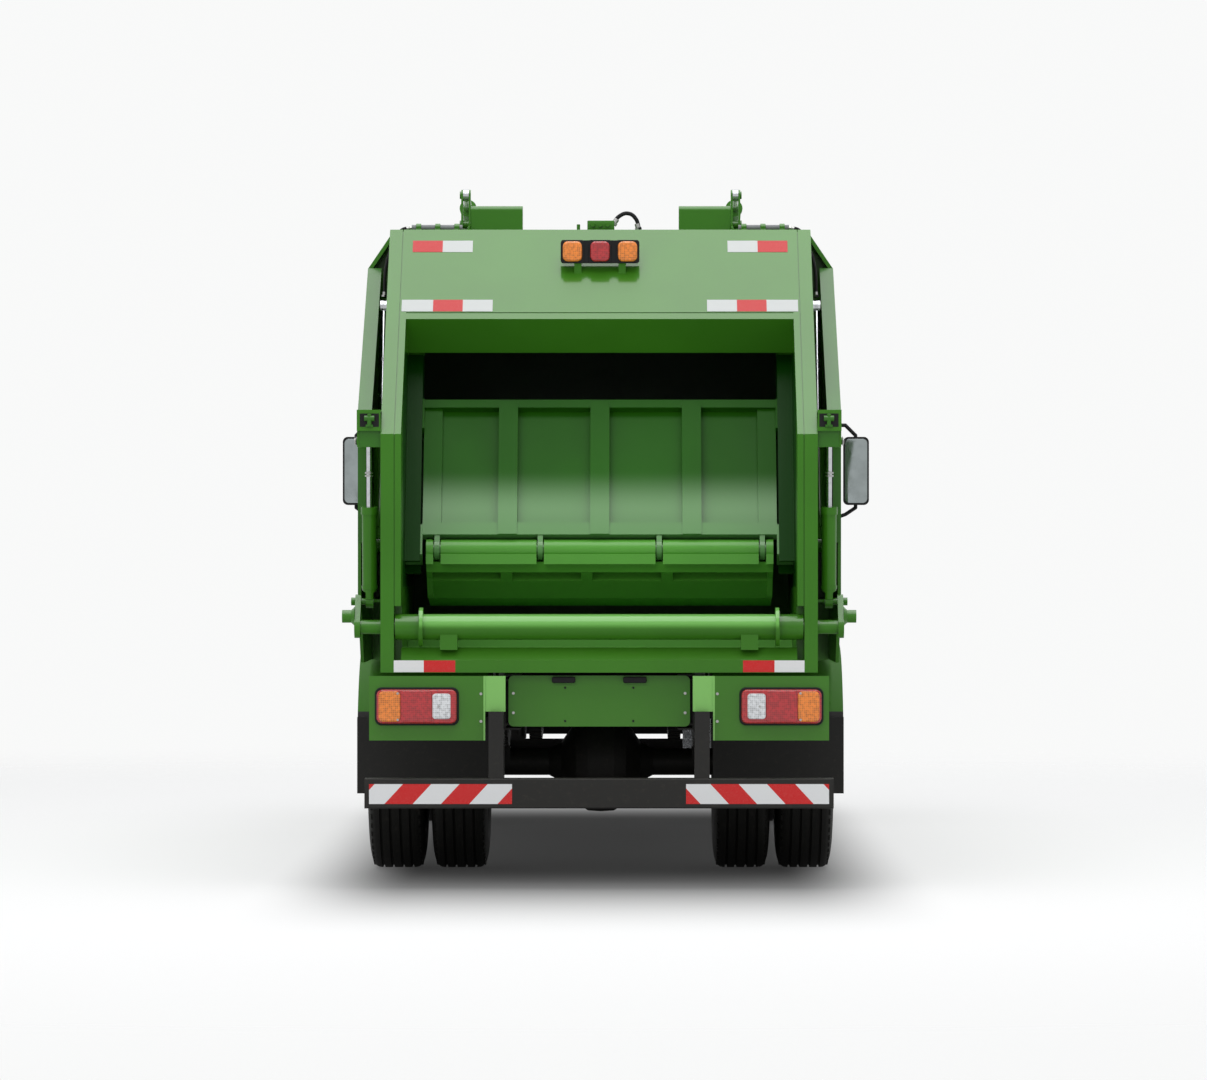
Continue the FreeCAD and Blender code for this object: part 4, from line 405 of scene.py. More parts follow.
def rod(bm, start, end, radius, segments=20):
    """A closed round bar between two points, or a prism with few segments."""
    start, end = Vector(start), Vector(end)
    along = end - start
    turn = Z.rotation_difference(along).to_matrix().to_4x4()
    place = Matrix.Translation((start + end) / 2) @ turn
    bmesh.ops.create_cone(bm, cap_ends=True, segments=segments, radius1=radius, radius2=radius,
                          depth=along.length, matrix=place)


def sheet_solid(bm, corners, push):
    """A flat outline pushed along a vector."""
    face = bm.faces.new([bm.verts.new(corner) for corner in corners])
    pushed = bmesh.ops.extrude_face_region(bm, geom=[face])["geom"]
    verts = [item for item in pushed if isinstance(item, bmesh.types.BMVert)]
    bmesh.ops.translate(bm, vec=push, verts=verts)


def turned(bm, profile, centre, axis, steps):
    """Spins a closed outline of (distance along the axis, radius) points fully round the axis."""
    centre, axis = Vector(centre), Vector(axis).normalized()
    side = axis.orthogonal().normalized()
    verts = [bm.verts.new(centre + axis * along + side * radius) for along, radius in profile]
    edges = [bm.edges.new(pair) for pair in zip(verts, verts[1:] + verts[:1])]
    bmesh.ops.spin(bm, geom=verts + edges, cent=centre, axis=axis, dvec=(0, 0, 0), angle=2 * pi,
                   steps=steps, use_merge=True, use_duplicate=False)


def soften(bm, width, segments=2):
    """Bevels every edge of the mesh."""
    bmesh.ops.bevel(bm, geom=bm.edges[:], offset=width, offset_type="OFFSET", affect="EDGES",
                    segments=segments, profile=0.5, material=-1, clamp_overlap=True)


def piece(name, bm, materials, body, smooth=35):
    """Turns a bmesh into a finished piece that rides on a body."""
    bmesh.ops.remove_doubles(bm, verts=bm.verts, dist=1e-6)
    bmesh.ops.recalc_face_normals(bm, faces=bm.faces)
    mesh = bpy.data.meshes.new(name)
    for face in bm.faces:
        face.smooth = True
    bm.to_mesh(mesh)
    bm.free()
    mesh.set_sharp_from_angle(angle=radians(smooth))
    for material in (materials if isinstance(materials, (list, tuple)) else [materials]):
        mesh.materials.append(material)
    made = bpy.data.objects.new(name, mesh)
    bpy.context.scene.collection.objects.link(made)
    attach(made, body)
    return made


def mirrored_too(bm):
    """Adds the same mesh on the truck's other side."""
    geometry = bm.verts[:] + bm.edges[:] + bm.faces[:]
    copy = bmesh.ops.duplicate(bm, geom=geometry)["geom"]
    verts = [item for item in copy if isinstance(item, bmesh.types.BMVert)]
    faces = [item for item in copy if isinstance(item, bmesh.types.BMFace)]
    bmesh.ops.scale(bm, vec=(-1, 1, 1), verts=verts)
    bmesh.ops.reverse_faces(bm, faces=faces)


def hexagon(bm, at, axis, across, height):
    """Bolt head with a washer under it, standing on a face."""
    at, axis = Vector(at), Vector(axis).normalized()
    rod(bm, at, at + axis * height * 0.22, across * 0.72, 16)
    rod(bm, at + axis * height * 0.22, at + axis * height, across / sqrt(3), 6)


def hose(name, points, radius):
    """A bent rubber hose through the points, with a crimped fitting at each end, on the tailgate."""
    curve = bpy.data.curves.new(name + "_line", "CURVE")
    curve.dimensions = "3D"
    curve.bevel_depth = radius
    curve.bevel_resolution = 4
    curve.resolution_u = 10
    curve.use_fill_caps = True
    line = curve.splines.new("BEZIER")
    line.bezier_points.add(len(points) - 1)
    for knot, point in zip(line.bezier_points, points):
        knot.co = point
        knot.handle_left_type = knot.handle_right_type = "AUTO"
    rough = bpy.data.objects.new(name + "_rough", curve)
    bpy.context.scene.collection.objects.link(rough)
    bpy.context.view_layer.update()
    mesh = bpy.data.meshes.new_from_object(rough.evaluated_get(bpy.context.evaluated_depsgraph_get()))
    bpy.data.objects.remove(rough)
    bm = bmesh.new()
    bm.from_mesh(mesh)
    bpy.data.meshes.remove(mesh)
    for face in bm.faces:
        face.material_index = 0
    for end, inner in ((points[0], points[1]), (points[-1], points[-2])):
        end, inner = Vector(end), Vector(inner)
        along = (inner - end).normalized()
        count = len(bm.faces)
        rod(bm, end, end + along * radius * 3.2, radius * 1.32, 16)
        rod(bm, end, end + along * radius * 1.2, radius * 1.9, 6)
        bm.faces.ensure_lookup_table()
        for face in bm.faces[count:]:
            face.material_index = 1
    piece(name, bm, [hose_rubber, steel], "tailgate")


# Paint and finishes on the CAD nodes

finishes = {
    "chassis_frame": black_paint, "front_axle": black_paint, "rear_axle": black_paint,
    "leaf_springs": black_paint, "engine_and_driveline": cast_metal, "fuel_tank": tank_metal,
    "battery_box_and_air_tanks": black_paint, "side_guards": guard_paint, "rear_bumper": bumper_paint,
    "lamp_panels": panel_paint, "lamps": lamp_red, "mudguards": guard_black, "body_shell": body_paint,
    "front_bumper": black_plastic, "knuckle_left": cast_metal, "knuckle_right": cast_metal,
    "tie_rod": black_paint, "tyre_front_left": rubber, "tyre_front_right": rubber,
    "tyres_rear_left": rubber, "tyres_rear_right": rubber, "rim_front_left": rim_paint,
    "rim_front_right": rim_paint, "rims_rear_left": rim_paint, "rims_rear_right": rim_paint,
    "cab_shell": body_paint, "cab_roof": body_paint, "step_boxes": black_plastic, "tow_jaw": black_paint,
    "cab_glass": glass, "grille": black_plastic, "seats": seat_cloth,
    "dashboard": black_plastic, "mirrors": black_plastic, "door_left": body_paint, "door_right": body_paint,
    "door_glass_left": glass, "door_glass_right": glass, "ejector_plate": inside_paint,
    "tailgate_shell": gate_paint, "mouth_columns": body_paint, "hopper_trough": trough_paint,
    "light_bar": bar_paint, "light_bar_lamps": lamp_amber, "slide_rods": rod_chrome,
    "packer_carriage": packer_paint, "slide_barrels": body_paint, "sweep_blade": blade_paint,
    "lift_barrels": body_paint, "lift_rods": rod_chrome, "tipper_tube": tube_paint,
    "tipper_barrels": body_paint, "tipper_rods": rod_chrome,
}
for name, finish in finishes.items():
    mesh = cad[name].data
    mesh.materials.clear()
    mesh.materials.append(finish)

# Wheels

wheel_radius = 0.509
front_axle_y = 2.430
rear_axle_y = -2.070
front_wheel_x = 0.930
inner_twin_x = 0.671
outer_twin_x = 0.973
front_disc_x = 1.081
rear_disc_x = 0.834
crown_radius = 0.5086
tread_blocks = 60


def tyre_profile():
    """The tyre's closed section as (sideways, radius) points, with four grooves in the crown."""
    half_width = 0.1345
    floor_radius = crown_radius - 0.011
    crown = [(-0.095, 0.5062)]
    for middle in (-0.070, -0.0245, 0.0245, 0.070):
        crown += [(middle - 0.0065, crown_radius), (middle - 0.0042, floor_radius),
                  (middle + 0.0042, floor_radius), (middle + 0.0065, crown_radius)]
    crown.append((0.095, 0.5062))
    wall = [(0.1065, 0.5000), (0.1155, 0.4895), (0.1215, 0.4760), (0.1262, 0.4600), (0.1298, 0.4400),
            (0.1278, 0.4365), (0.1325, 0.4180), (half_width, 0.3900), (0.1325, 0.3600), (0.1270, 0.3340),
            (0.1285, 0.3310), (0.1215, 0.3140), (0.1080, 0.2975), (0.0860, 0.2860), (0.0835, 0.2600)]
    left = [(-across, radius) for across, radius in reversed(wall)]
    return left + crown + wall


def tread_tyre(bm, centre_x, axle_y):
    """One tyre with shoulder blocks along both edges of its tread."""
    shoulder_x, shoulder_radius = 0.1112, 0.4885
    size = Matrix.Diagonal((0.0115, 0.026, 0.017, 1))
    centre = Vector((centre_x, axle_y, wheel_radius))
    turned(bm, tyre_profile(), centre, X, 96)
    for side in (-1, 1):
        for index in range(tread_blocks):
            turn = 2 * pi * (index + 0.5 * (side > 0)) / tread_blocks
            out = Vector((0, cos(turn), sin(turn)))
            along = Vector((0, -sin(turn), cos(turn)))
            at = centre + X * (side * shoulder_x) + out * shoulder_radius
            verts = bmesh.ops.create_cube(bm, size=1)["verts"]
            place = Matrix.Translation(at) @ Matrix((X, along, out)).transposed().to_4x4()
            bmesh.ops.transform(bm, matrix=place @ size, verts=verts)


def tyre_piece(name, centres, axle_y, body, node):
    """One tyre or a twin pair, which takes the place of its CAD node."""
    bm = bmesh.new()
    for centre_x in centres:
        tread_tyre(bm, centre_x, axle_y)
    made = piece(name, bm, rubber, body, smooth=28)
    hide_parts(node)


def wheel_nuts(name, face_x, side, axle_y, body):
    """Wheel nuts with washers and studs on the disc."""
    circle, count = 0.140, 10
    bm = bmesh.new()
    for index in range(count):
        turn = 2 * pi * (index + 0.5) / count
        at = Vector((face_x, axle_y + circle * cos(turn), wheel_radius + circle * sin(turn)))
        out = X * side
        rod(bm, at, at + out * 0.006, 0.021, 20)
        rod(bm, at + out * 0.006, at + out * 0.026, 0.0185, 6)
        rod(bm, at + out * 0.026, at + out * 0.034, 0.0105, 14)
    soften(bm, 0.0012, 1)
    piece(name, bm, steel, body)


for side, word in ((-1, "left"), (1, "right")):
    front = "wheel_front_" + word
    rear = "wheel_rear_" + word
    tyre_piece("tread_front_" + word, [side * front_wheel_x], front_axle_y, front, "tyre_front_" + word)
    tyre_piece("tread_rear_" + word, [side * inner_twin_x, side * outer_twin_x], rear_axle_y, rear,
               "tyres_rear_" + word)
    wheel_nuts("nuts_front_" + word, side * front_disc_x, side, front_axle_y, front)
    wheel_nuts("nuts_rear_" + word, side * rear_disc_x, side, rear_axle_y, rear)

# Reflective tape

gate_rear_y = -3.780
slope_bend_z = 2.050
tape_proud = 0.0008
upper_z = (2.918, 2.974)
lower_z = (2.628, 2.684)
sill_z = (0.977, 1.030)


def slope_y(z):
    """How far back the tailgate's slope lies at a height."""
    return gate_rear_y + (z - slope_bend_z)


def slope_tape(bm, x0, x1, z0, z1):
    """A strip of tape lying on the tailgate's slope."""
    corners = [(x0, slope_y(z0), z0), (x1, slope_y(z0), z0), (x1, slope_y(z1), z1), (x0, slope_y(z1), z1)]
    sheet_solid(bm, corners, Vector((0, -tape_proud, tape_proud)))


def flat_tape(bm, x0, x1, z0, z1):
    """A strip of tape on the hopper's upright sill."""
    corners = [(x0, gate_rear_y, z0), (x1, gate_rear_y, z0), (x1, gate_rear_y, z1), (x0, gate_rear_y, z1)]
    sheet_solid(bm, corners, Vector((0, -tape_proud, 0)))


reds, whites, sill_reds, sill_whites = (bmesh.new() for _ in range(4))
for side in (-1, 1):
    for add, bm, near, far, heights in (
            (slope_tape, reds, 0.735, 0.875, upper_z), (slope_tape, whites, 0.595, 0.735, upper_z),
            (slope_tape, whites, 0.770, 0.915, lower_z), (slope_tape, reds, 0.633, 0.770, lower_z),
            (slope_tape, whites, 0.495, 0.633, lower_z), (flat_tape, sill_whites, 0.790, 0.925, sill_z),
            (flat_tape, sill_reds, 0.648, 0.790, sill_z)):
        add(bm, *sorted((side * near, side * far)), *heights)
piece("gate_tape_red", reds, slope_red_painted_shade, "tailgate")
piece("gate_tape_white", whites, slope_white_painted_shade, "tailgate")
piece("sill_tape_red", sill_reds, tape_red, "tailgate")
piece("sill_tape_white", sill_whites, tape_white, "tailgate")


def chevrons(side):
    """Slanted red and white blocks on one half of the rear bumper, which lean towards the middle."""
    low_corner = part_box("rear_bumper")[0]
    near, far = 0.391, 1.033
    low = low_corner.z + 0.0205
    high = low + 0.0895
    lean = 0.083
    pitch = 0.127
    outer_white = 0.069
    reds = bmesh.new()
    whites = bmesh.new()
    start = far - outer_white + pitch
    for index in range(8):
        bm = reds if index % 2 == 0 else whites
        corners = [(start - lean, high), (start, low), (start + pitch, low), (start + pitch - lean, high)]
        sheet_solid(bm, [(side * x, low_corner.y, z) for x, z in corners], Vector((0, -tape_proud, 0)))
        start -= pitch
    for bm in (reds, whites):
        for x, normal in ((near, -1), (far, 1)):
            geometry = bm.verts[:] + bm.edges[:] + bm.faces[:]
            cut = bmesh.ops.bisect_plane(bm, geom=geometry, plane_co=(side * x, 0, 0),
                                         plane_no=(side * normal, 0, 0), clear_outer=True)["geom_cut"]
            edges = [item for item in cut if isinstance(item, bmesh.types.BMEdge)]
            bmesh.ops.holes_fill(bm, edges=edges, sides=0)
    word = "right" if side > 0 else "left"
    piece("chevron_red_" + word, reds, tape_red, "root")
    piece("chevron_white_" + word, whites, tape_white, "root")


chevrons(-1)
chevrons(1)

# Lamps

def rounded_slab(bm, low, high, corner, edge, facing=-Y):
    """A block with round corners seen from behind or in front, and a softened edge round that face."""
    verts = cube(bm, low, high)
    inside = set(verts)
    corners = [e for e in bm.edges if e.verts[0] in inside and e.verts[1] in inside
               and abs((e.verts[0].co - e.verts[1].co).normalized().dot(Y)) > 0.99]
    bmesh.ops.bevel(bm, geom=corners, offset=corner, offset_type="OFFSET", affect="EDGES", segments=7,
                    profile=0.5, material=-1)
    if not edge:
        return
    front = low[1] if facing.y < 0 else high[1]
    bm.edges.ensure_lookup_table()
    rim = [e for e in bm.edges if all(abs(v.co.y - front) < 1e-6 for v in e.verts)
           and all(low[0] - 1e-6 <= v.co.x <= high[0] + 1e-6 for v in e.verts)
           and all(low[2] - 1e-6 <= v.co.z <= high[2] + 1e-6 for v in e.verts)
           and len(e.link_faces) == 2 and e.calc_face_angle(0) > 0.5]
    bmesh.ops.bevel(bm, geom=rim, offset=edge, offset_type="OFFSET", affect="EDGES", segments=4,
                    profile=0.5, material=-1)


def slab_pair(name, material, slot, *slabs, body="root", facing=-Y):
    """A piece of rounded slabs on both sides, given as (low, high, corner, edge) on the truck's right."""
    bm = bmesh.new()
    for low, high, corner, edge in slabs:
        rounded_slab(bm, low, high, corner, edge, facing)
    mirrored_too(bm)
    return piece(name, bm, material, body)


lamp_back_y = -3.798
lamp_face_y = -3.842
lamp_low = 0.747
lamp_high = 0.900
lens_back_y = lamp_back_y - 0.02
plate_face_y = -3.708

lamp_gaskets = slab_pair("tail_lamp_gaskets", black_plastic, "black_plastic", (
    (0.631, lamp_back_y - 0.012, lamp_low - 0.009), (1.009, lamp_back_y, lamp_high + 0.009), 0.030, 0.004))
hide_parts("lamps")
slab_pair("tail_lamp_red", lamp_red, "lamp_lens", (
    (0.640, lamp_face_y + 0.006, lamp_low), (1.000, lamp_back_y - 0.008, lamp_high), 0.026, 0.009), (
    (0.752, lamp_face_y, lamp_low + 0.006), (0.891, lens_back_y, lamp_high - 0.006), 0.012, 0.004))
slab_pair("tail_lamp_amber", lamp_amber, "lamp_lens", (
    (0.893, lamp_face_y, lamp_low + 0.008), (0.991, lens_back_y, lamp_high - 0.008), 0.020, 0.006))
slab_pair("tail_lamp_white", lamp_clear, "lamp_lens", (
    (0.667, lamp_face_y, lamp_low + 0.020), (0.749, lens_back_y, lamp_high - 0.018), 0.014, 0.005))

screws = bmesh.new()
for x, z in ((0.722, 0.824), (0.905, 0.764), (0.905, 0.883)):
    rod(screws, (x, lamp_face_y - 0.0015, z), (x, lamp_face_y + 0.004, z), 0.0055, 12)
mirrored_too(screws)
piece("tail_lamp_screws", screws, steel, "root")
slab_pair("plate_lamps", black_plastic, "black_plastic", (
    (0.108, plate_face_y - 0.024, 0.927), (0.214, plate_face_y, 0.955), 0.008, 0.004))

headlamp_z = 0.700
bowls = bmesh.new()
for x in (0.790, 0.915):
    turned(bowls, [(0.0, 0.0), (0.004, 0.030), (0.022, 0.052), (0.046, 0.062), (0.046, 0.066), (0.0, 0.066)],
           (x, 3.783, headlamp_z), Y, 40)
mirrored_too(bowls)
piece("headlamp_bowls", bowls, rod_chrome, "root")
slab_pair("headlamp_glass", glass, "window_glass", (
    (0.724, 3.832, headlamp_z - 0.076), (0.996, 3.838, headlamp_z + 0.076), 0.028, 0.003), facing=Y)
slab_pair("headlamp_cases", black_plastic, "black_plastic", (
    (0.722, 3.776, headlamp_z - 0.078), (0.998, 3.784, headlamp_z + 0.078), 0.028, 0.0))

# Light bar on the slope

bar_low, bar_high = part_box("light_bar_lamps")
bar_z = (bar_low.z + bar_high.z) / 2
beacon_x = {"left": -0.128, "middle": 0.0, "right": 0.128}
beacon_half_width = 0.045
beacon_half_height = 0.047
for word, x in beacon_x.items():
    finish = lamp_red if word == "middle" else lamp_amber
    lamp = bmesh.new()
    rounded_slab(lamp, (x - beacon_half_width, bar_low.y, bar_z - beacon_half_height),
                 (x + beacon_half_width, bar_high.y, bar_z + beacon_half_height), 0.024, 0.010)
    made = piece("beacon_" + word, lamp, finish, "tailgate")
    if word == "left":
        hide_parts("light_bar_lamps")

# Pipes, the valve block and hoses on the tailgate's roof

gate_top = 3.030
roof_pipe_y = -2.700
roof_pipe_z = 3.046
slide_hose_radius = 0.0075
valve_hose_radius = 0.0095

pipes = bmesh.new()
clamps = bmesh.new()
rod(pipes, (0.649, roof_pipe_y, roof_pipe_z), (0.888, roof_pipe_y, roof_pipe_z), 0.0125, 20)
for x in (0.675, 0.765, 0.855):
    cube(clamps, (x - 0.014, roof_pipe_y - 0.030, gate_top),
         (x + 0.014, roof_pipe_y + 0.030, gate_top + 0.008))
    rod(clamps, (x - 0.012, roof_pipe_y, roof_pipe_z), (x + 0.012, roof_pipe_y, roof_pipe_z), 0.0185, 18)
for bm in (pipes, clamps):
    mirrored_too(bm)
piece("roof_pipes", pipes, pipe_grey, "tailgate")
soften(clamps, 0.0015, 1)
piece("roof_pipe_clamps", clamps, body_paint, "tailgate")

valve = bmesh.new()
cube(valve, (-0.061, -2.755, gate_top), (0.066, -2.665, gate_top + 0.046))
soften(valve, 0.004, 2)
for x in (-0.035, 0.0, 0.035):
    rod(valve, (x, -2.756, gate_top + 0.024), (x, -2.775, gate_top + 0.024), 0.010, 6)
rod(valve, (-0.103, -2.71, gate_top), (-0.103, -2.71, gate_top + 0.030), 0.008, 12)
piece("roof_valve_block", valve, body_paint, "tailgate")
slide_line = [(0.888, -2.700, roof_pipe_z), (0.935, -2.702, 3.034), (0.978, -2.710, 2.955),
              (1.006, -2.735, 2.865), (1.014, -2.756, 2.716)]
for side, word in ((-1, "left"), (1, "right")):
    hose("slide_hose_" + word, [(side * x, y, z) for x, y, z in slide_line], slide_hose_radius)
hose("valve_hose", [(0.060, -2.710, 3.060), (0.088, -2.705, 3.098), (0.132, -2.700, 3.112),
                    (0.168, -2.700, 3.085), (0.180, -2.700, 3.034)], valve_hose_radius)

# Collars on the tipper cylinders' rods, which lean a little backwards from their top pin

pin_y = -3.700
pin_z = 2.020
rod_x = 1.040
rod_lean = -0.012

collars = bmesh.new()
for z in (1.862, 1.876):
    y = pin_y + (pin_z - z) * rod_lean
    rod(collars, (rod_x, y, z - 0.004), (rod_x, y, z + 0.004), 0.0185, 24)
mirrored_too(collars)
piece("rod_collars", collars, steel, "tipper_rods")

# Bolts, screws and pin nuts

bolts = bmesh.new()
for side in (-1, 1):
    for x, y, z in ((0.388, plate_face_y, 0.880), (0.388, plate_face_y, 0.792),
                    (0.532, lamp_back_y, 0.880), (0.532, lamp_back_y, 0.756)):
        hexagon(bolts, (side * x, y, z), -Y, 0.009, 0.006)
piece("rear_bolts", bolts, steel, "root")
screws = bmesh.new()
for x in (-0.154, 0.154):
    for z in (0.755, 0.905):
        rod(screws, (x, plate_face_y, z), (x, plate_face_y - 0.004, z), 0.005, 14)
soften(screws, 0.001, 1)
piece("centre_plate_screws", screws, black_plastic, "root")

pins = bmesh.new()
for side in (-1, 1):
    hexagon(pins, (side * 1.098, pin_y, pin_z), X * side, 0.030, 0.008)
soften(pins, 0.001, 1)
piece("bracket_pin_nuts", pins, steel, "tailgate")

# Cover plates, lugs and thin black sheets of painted shade in the hollow boxes of the tipper cylinders'
# brackets, and the side plates' turned-in edges

side_plate_x = 1.100
covers = bmesh.new()
shade_sheets = bmesh.new()
cube(covers, (0.984, -3.756, 1.991), (1.080, -3.747, 2.066))
# A thin black sheet as painted shade inside the bracket's hollow box.
cube(shade_sheets, (0.992, -3.7795, 2.082), (1.078, -3.7785, 2.142))
rod(covers, (1.012, -3.786, 2.120), (1.058, -3.786, 2.120), 0.013, 20)
rod(covers, (1.035, -3.788, 2.086), (1.035, -3.788, 2.140), 0.010, 20)
cube(covers, (1.019, -3.790, 2.080), (1.051, -3.778, 2.092))
soften(covers, 0.001, 1)
edge_line = [(-3.5205, 1.560), (-3.5205, 2.1604), (-2.5660, 2.8604)]
for (y0, z0), (y1, z1), inner_x in zip(edge_line, edge_line[1:], (1.062, 1.036)):
    corners = [(inner_x, y0, z0), (side_plate_x, y0, z0), (side_plate_x, y1, z1), (inner_x, y1, z1)]
    sheet_solid(covers, corners, Vector((0, -0.002, 0.0012)))
for bm in (covers, shade_sheets):
    mirrored_too(bm)
piece("bracket_covers", covers, inside_paint, "tailgate")
piece("bracket_painted_shade_sheets", shade_sheets, black_plastic, "tailgate")

# Black squares behind the three beacons

bases = bmesh.new()
bases_low, bases_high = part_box("light_bar")
for x in beacon_x.values():
    rounded_slab(bases, (x - 0.054, bases_low.y - 0.004, bases_high.z - 0.106),
                 (x + 0.054, bases_low.y + 0.006, bases_high.z + 0.002), 0.012, 0.002)
piece("beacon_bases", bases, black_plastic, "tailgate")

# Mirror glass

slab_pair("mirror_glass", mirror_face, "rod_chrome", (
    (1.405, 3.5335, 1.812), (1.535, 3.538, 2.188), 0.026, 0.001), body="cab")

# Seats: cushions swollen as cloth, on moulded plinths

def applied(made, kind, settings):
    """The object's mesh with one modifier applied to it."""
    modifier = made.modifiers.new(kind.lower(), kind)
    for key, value in settings.items():
        setattr(modifier, key, value)
    bpy.context.view_layer.update()
    mesh = bpy.data.meshes.new_from_object(made.evaluated_get(bpy.context.evaluated_depsgraph_get()))
    made.modifiers.remove(modifier)
    made.data = mesh


def swollen(made, cap):
    """Blows the closed mesh up as cloth, moving no point further than the cap."""
    frames = 20
    start = [vert.co.copy() for vert in made.data.vertices]
    cloth = made.modifiers.new("swell", "CLOTH")
    cloth.settings.quality = 5
    cloth.settings.mass = 0.3
    cloth.settings.tension_stiffness = cloth.settings.compression_stiffness = 12
    cloth.settings.shear_stiffness = 5
    cloth.settings.bending_stiffness = 0.6
    cloth.settings.use_pressure = True
    cloth.settings.uniform_pressure_force = 4.0
    cloth.settings.effector_weights.gravity = 0
    cloth.point_cache.frame_start = 1
    cloth.point_cache.frame_end = frames
    for number in range(1, frames + 1):
        bpy.context.scene.frame_set(number)
    mesh = bpy.data.meshes.new_from_object(made.evaluated_get(bpy.context.evaluated_depsgraph_get()))
    made.modifiers.remove(cloth)
    bpy.context.scene.frame_set(1)
    for vert, was in zip(mesh.vertices, start):
        moved = vert.co - was
        if moved.length > cap:
            vert.co = was + moved.normalized() * cap
    made.data = mesh


def pad(name, outline, x0, x1, seams, facing):
    """A padded form: a side outline of (y, z) points from x0 to x1, with a sewn channel at each seam."""
    seam_width, seam_depth = 0.011, 0.006
    voxel, swell = 0.011, 0.014
    bm = bmesh.new()
    sheet_solid(bm, [(x0, y, z) for y, z in outline], X * (x1 - x0))
    soften(bm, 0.030, 4)
    made = piece(name, bm, seat_cloth, "cab", smooth=80)
    applied(made, "REMESH", {"mode": "VOXEL", "voxel_size": voxel})
    swollen(made, swell)
    applied(made, "SUBSURF", {"levels": 1, "render_levels": 1})
    facing = Vector(facing).normalized()
    made.data.update()
    normals = [vert.normal.copy() for vert in made.data.vertices]
    for vert, normal in zip(made.data.vertices, normals):
        share = max(0.0, normal.dot(facing))
        for seam_x in seams:
            gap = abs(vert.co.x - seam_x) / seam_width
            if gap < 3:
                vert.co -= facing * (seam_depth * share * exp(-gap * gap))
    for face in made.data.polygons:
        face.use_smooth = True


seat_x = 0.735
seat_half = 0.226
seam_from_middle = 0.105
cushion = [(2.345, 1.478), (2.848, 1.478), (2.848, 1.566), (2.345, 1.566)]
backrest = [(2.362, 1.600), (2.446, 1.612), (2.354, 2.184), (2.284, 2.172)]
for side, word in ((-1, "left"), (1, "right")):
    x = side * seat_x
    seams = (x - seam_from_middle, x + seam_from_middle)
    pad("seat_cushion_" + word, cushion, x - seat_half, x + seat_half, seams, (0, 0, 1))
    pad("seat_back_" + word, backrest, x - seat_half, x + seat_half, seams, (0, 1, 0.15))
plinths = bmesh.new()
cube(plinths, (0.548, 2.402, 1.152), (0.922, 2.798, 1.440))
cube(plinths, (0.510, 2.340, 1.440), (0.960, 2.850, 1.466))
cube(plinths, (0.575, 2.352, 1.466), (0.895, 2.372, 1.600))
soften(plinths, 0.008, 2)
for gap in (0.030, 0.052, 0.074):
    cube(plinths, (0.5455, 2.440, 1.300 - gap), (0.549, 2.760, 1.308 - gap))
mirrored_too(plinths)
seat_bases = piece("seat_bases", plinths, black_plastic, "cab")
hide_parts("seats")

# Cab trim

cab_rear_y = 1.850
cab_side_x = 1.140
waist_z = 1.720
wiper_foot_z = 1.748


def screen_front_y(z):
    """The windscreen's outer face, which leans back above the waist."""
    return 3.800 - (z - waist_z) * 0.2


def rounded_outline(u0, u1, v0, v1, radius):
    """A rectangle with round corners, as (u, v) points."""
    steps = 6
    points = []
    for centre_u, centre_v, start in ((u1 - radius, v1 - radius, 0), (u0 + radius, v1 - radius, 90),
                                      (u0 + radius, v0 + radius, 180), (u1 - radius, v0 + radius, 270)):
        for step in range(steps + 1):
            turn = radians(start + 90 * step / steps)
            points.append((centre_u + radius * cos(turn), centre_v + radius * sin(turn)))
    return points


def inset(points, depth):
    """The closed outline moved inwards by the depth."""
    moved = []
    count = len(points)
    for index, (u, v) in enumerate(points):
        before, after = points[index - 1], points[(index + 1) % count]
        du, dv = after[0] - before[0], after[1] - before[1]
        length = hypot(du, dv)
        moved.append((u - depth * dv / length, v + depth * du / length))
    return moved


def seal(bm, points, place):
    """Rubber seal along a closed outline. place(u, v, out) gives the point that far outside the panel."""
    width, proud, lip = 0.022, 0.004, 0.010
    loops = []
    for depth, out in ((-lip, 0.0), (-lip, proud), (0.0, proud + 0.002), (width - lip, proud - 0.001),
                       (width - lip, -0.014), (-lip * 0.2, -0.014), (-lip * 0.2, 0.0)):
        loops.append([bm.verts.new(place(u, v, out)) for u, v in inset(points, depth)])
    count = len(points)
    for ring, after in zip(loops, loops[1:] + loops[:1]):
        for index in range(count):
            follow = (index + 1) % count
            bm.faces.new((ring[index], ring[follow], after[follow], after[index]))


seals = bmesh.new()
seal(seals, rounded_outline(-0.985, 0.985, 1.775, 2.425, 0.060),
     lambda u, v, out: (u, screen_front_y(v) + out, v))
seal(seals, rounded_outline(-0.520, 0.520, 1.850, 2.330, 0.050), lambda u, v, out: (u, cab_rear_y - out, v))
for side in (-1, 1):
    seal(seals, rounded_outline(2.080, 2.640, 1.800, 2.430, 0.055),
         lambda u, v, out: (side * (cab_side_x + out), u, v))
piece("cab_window_seals", seals, hose_rubber, "cab")


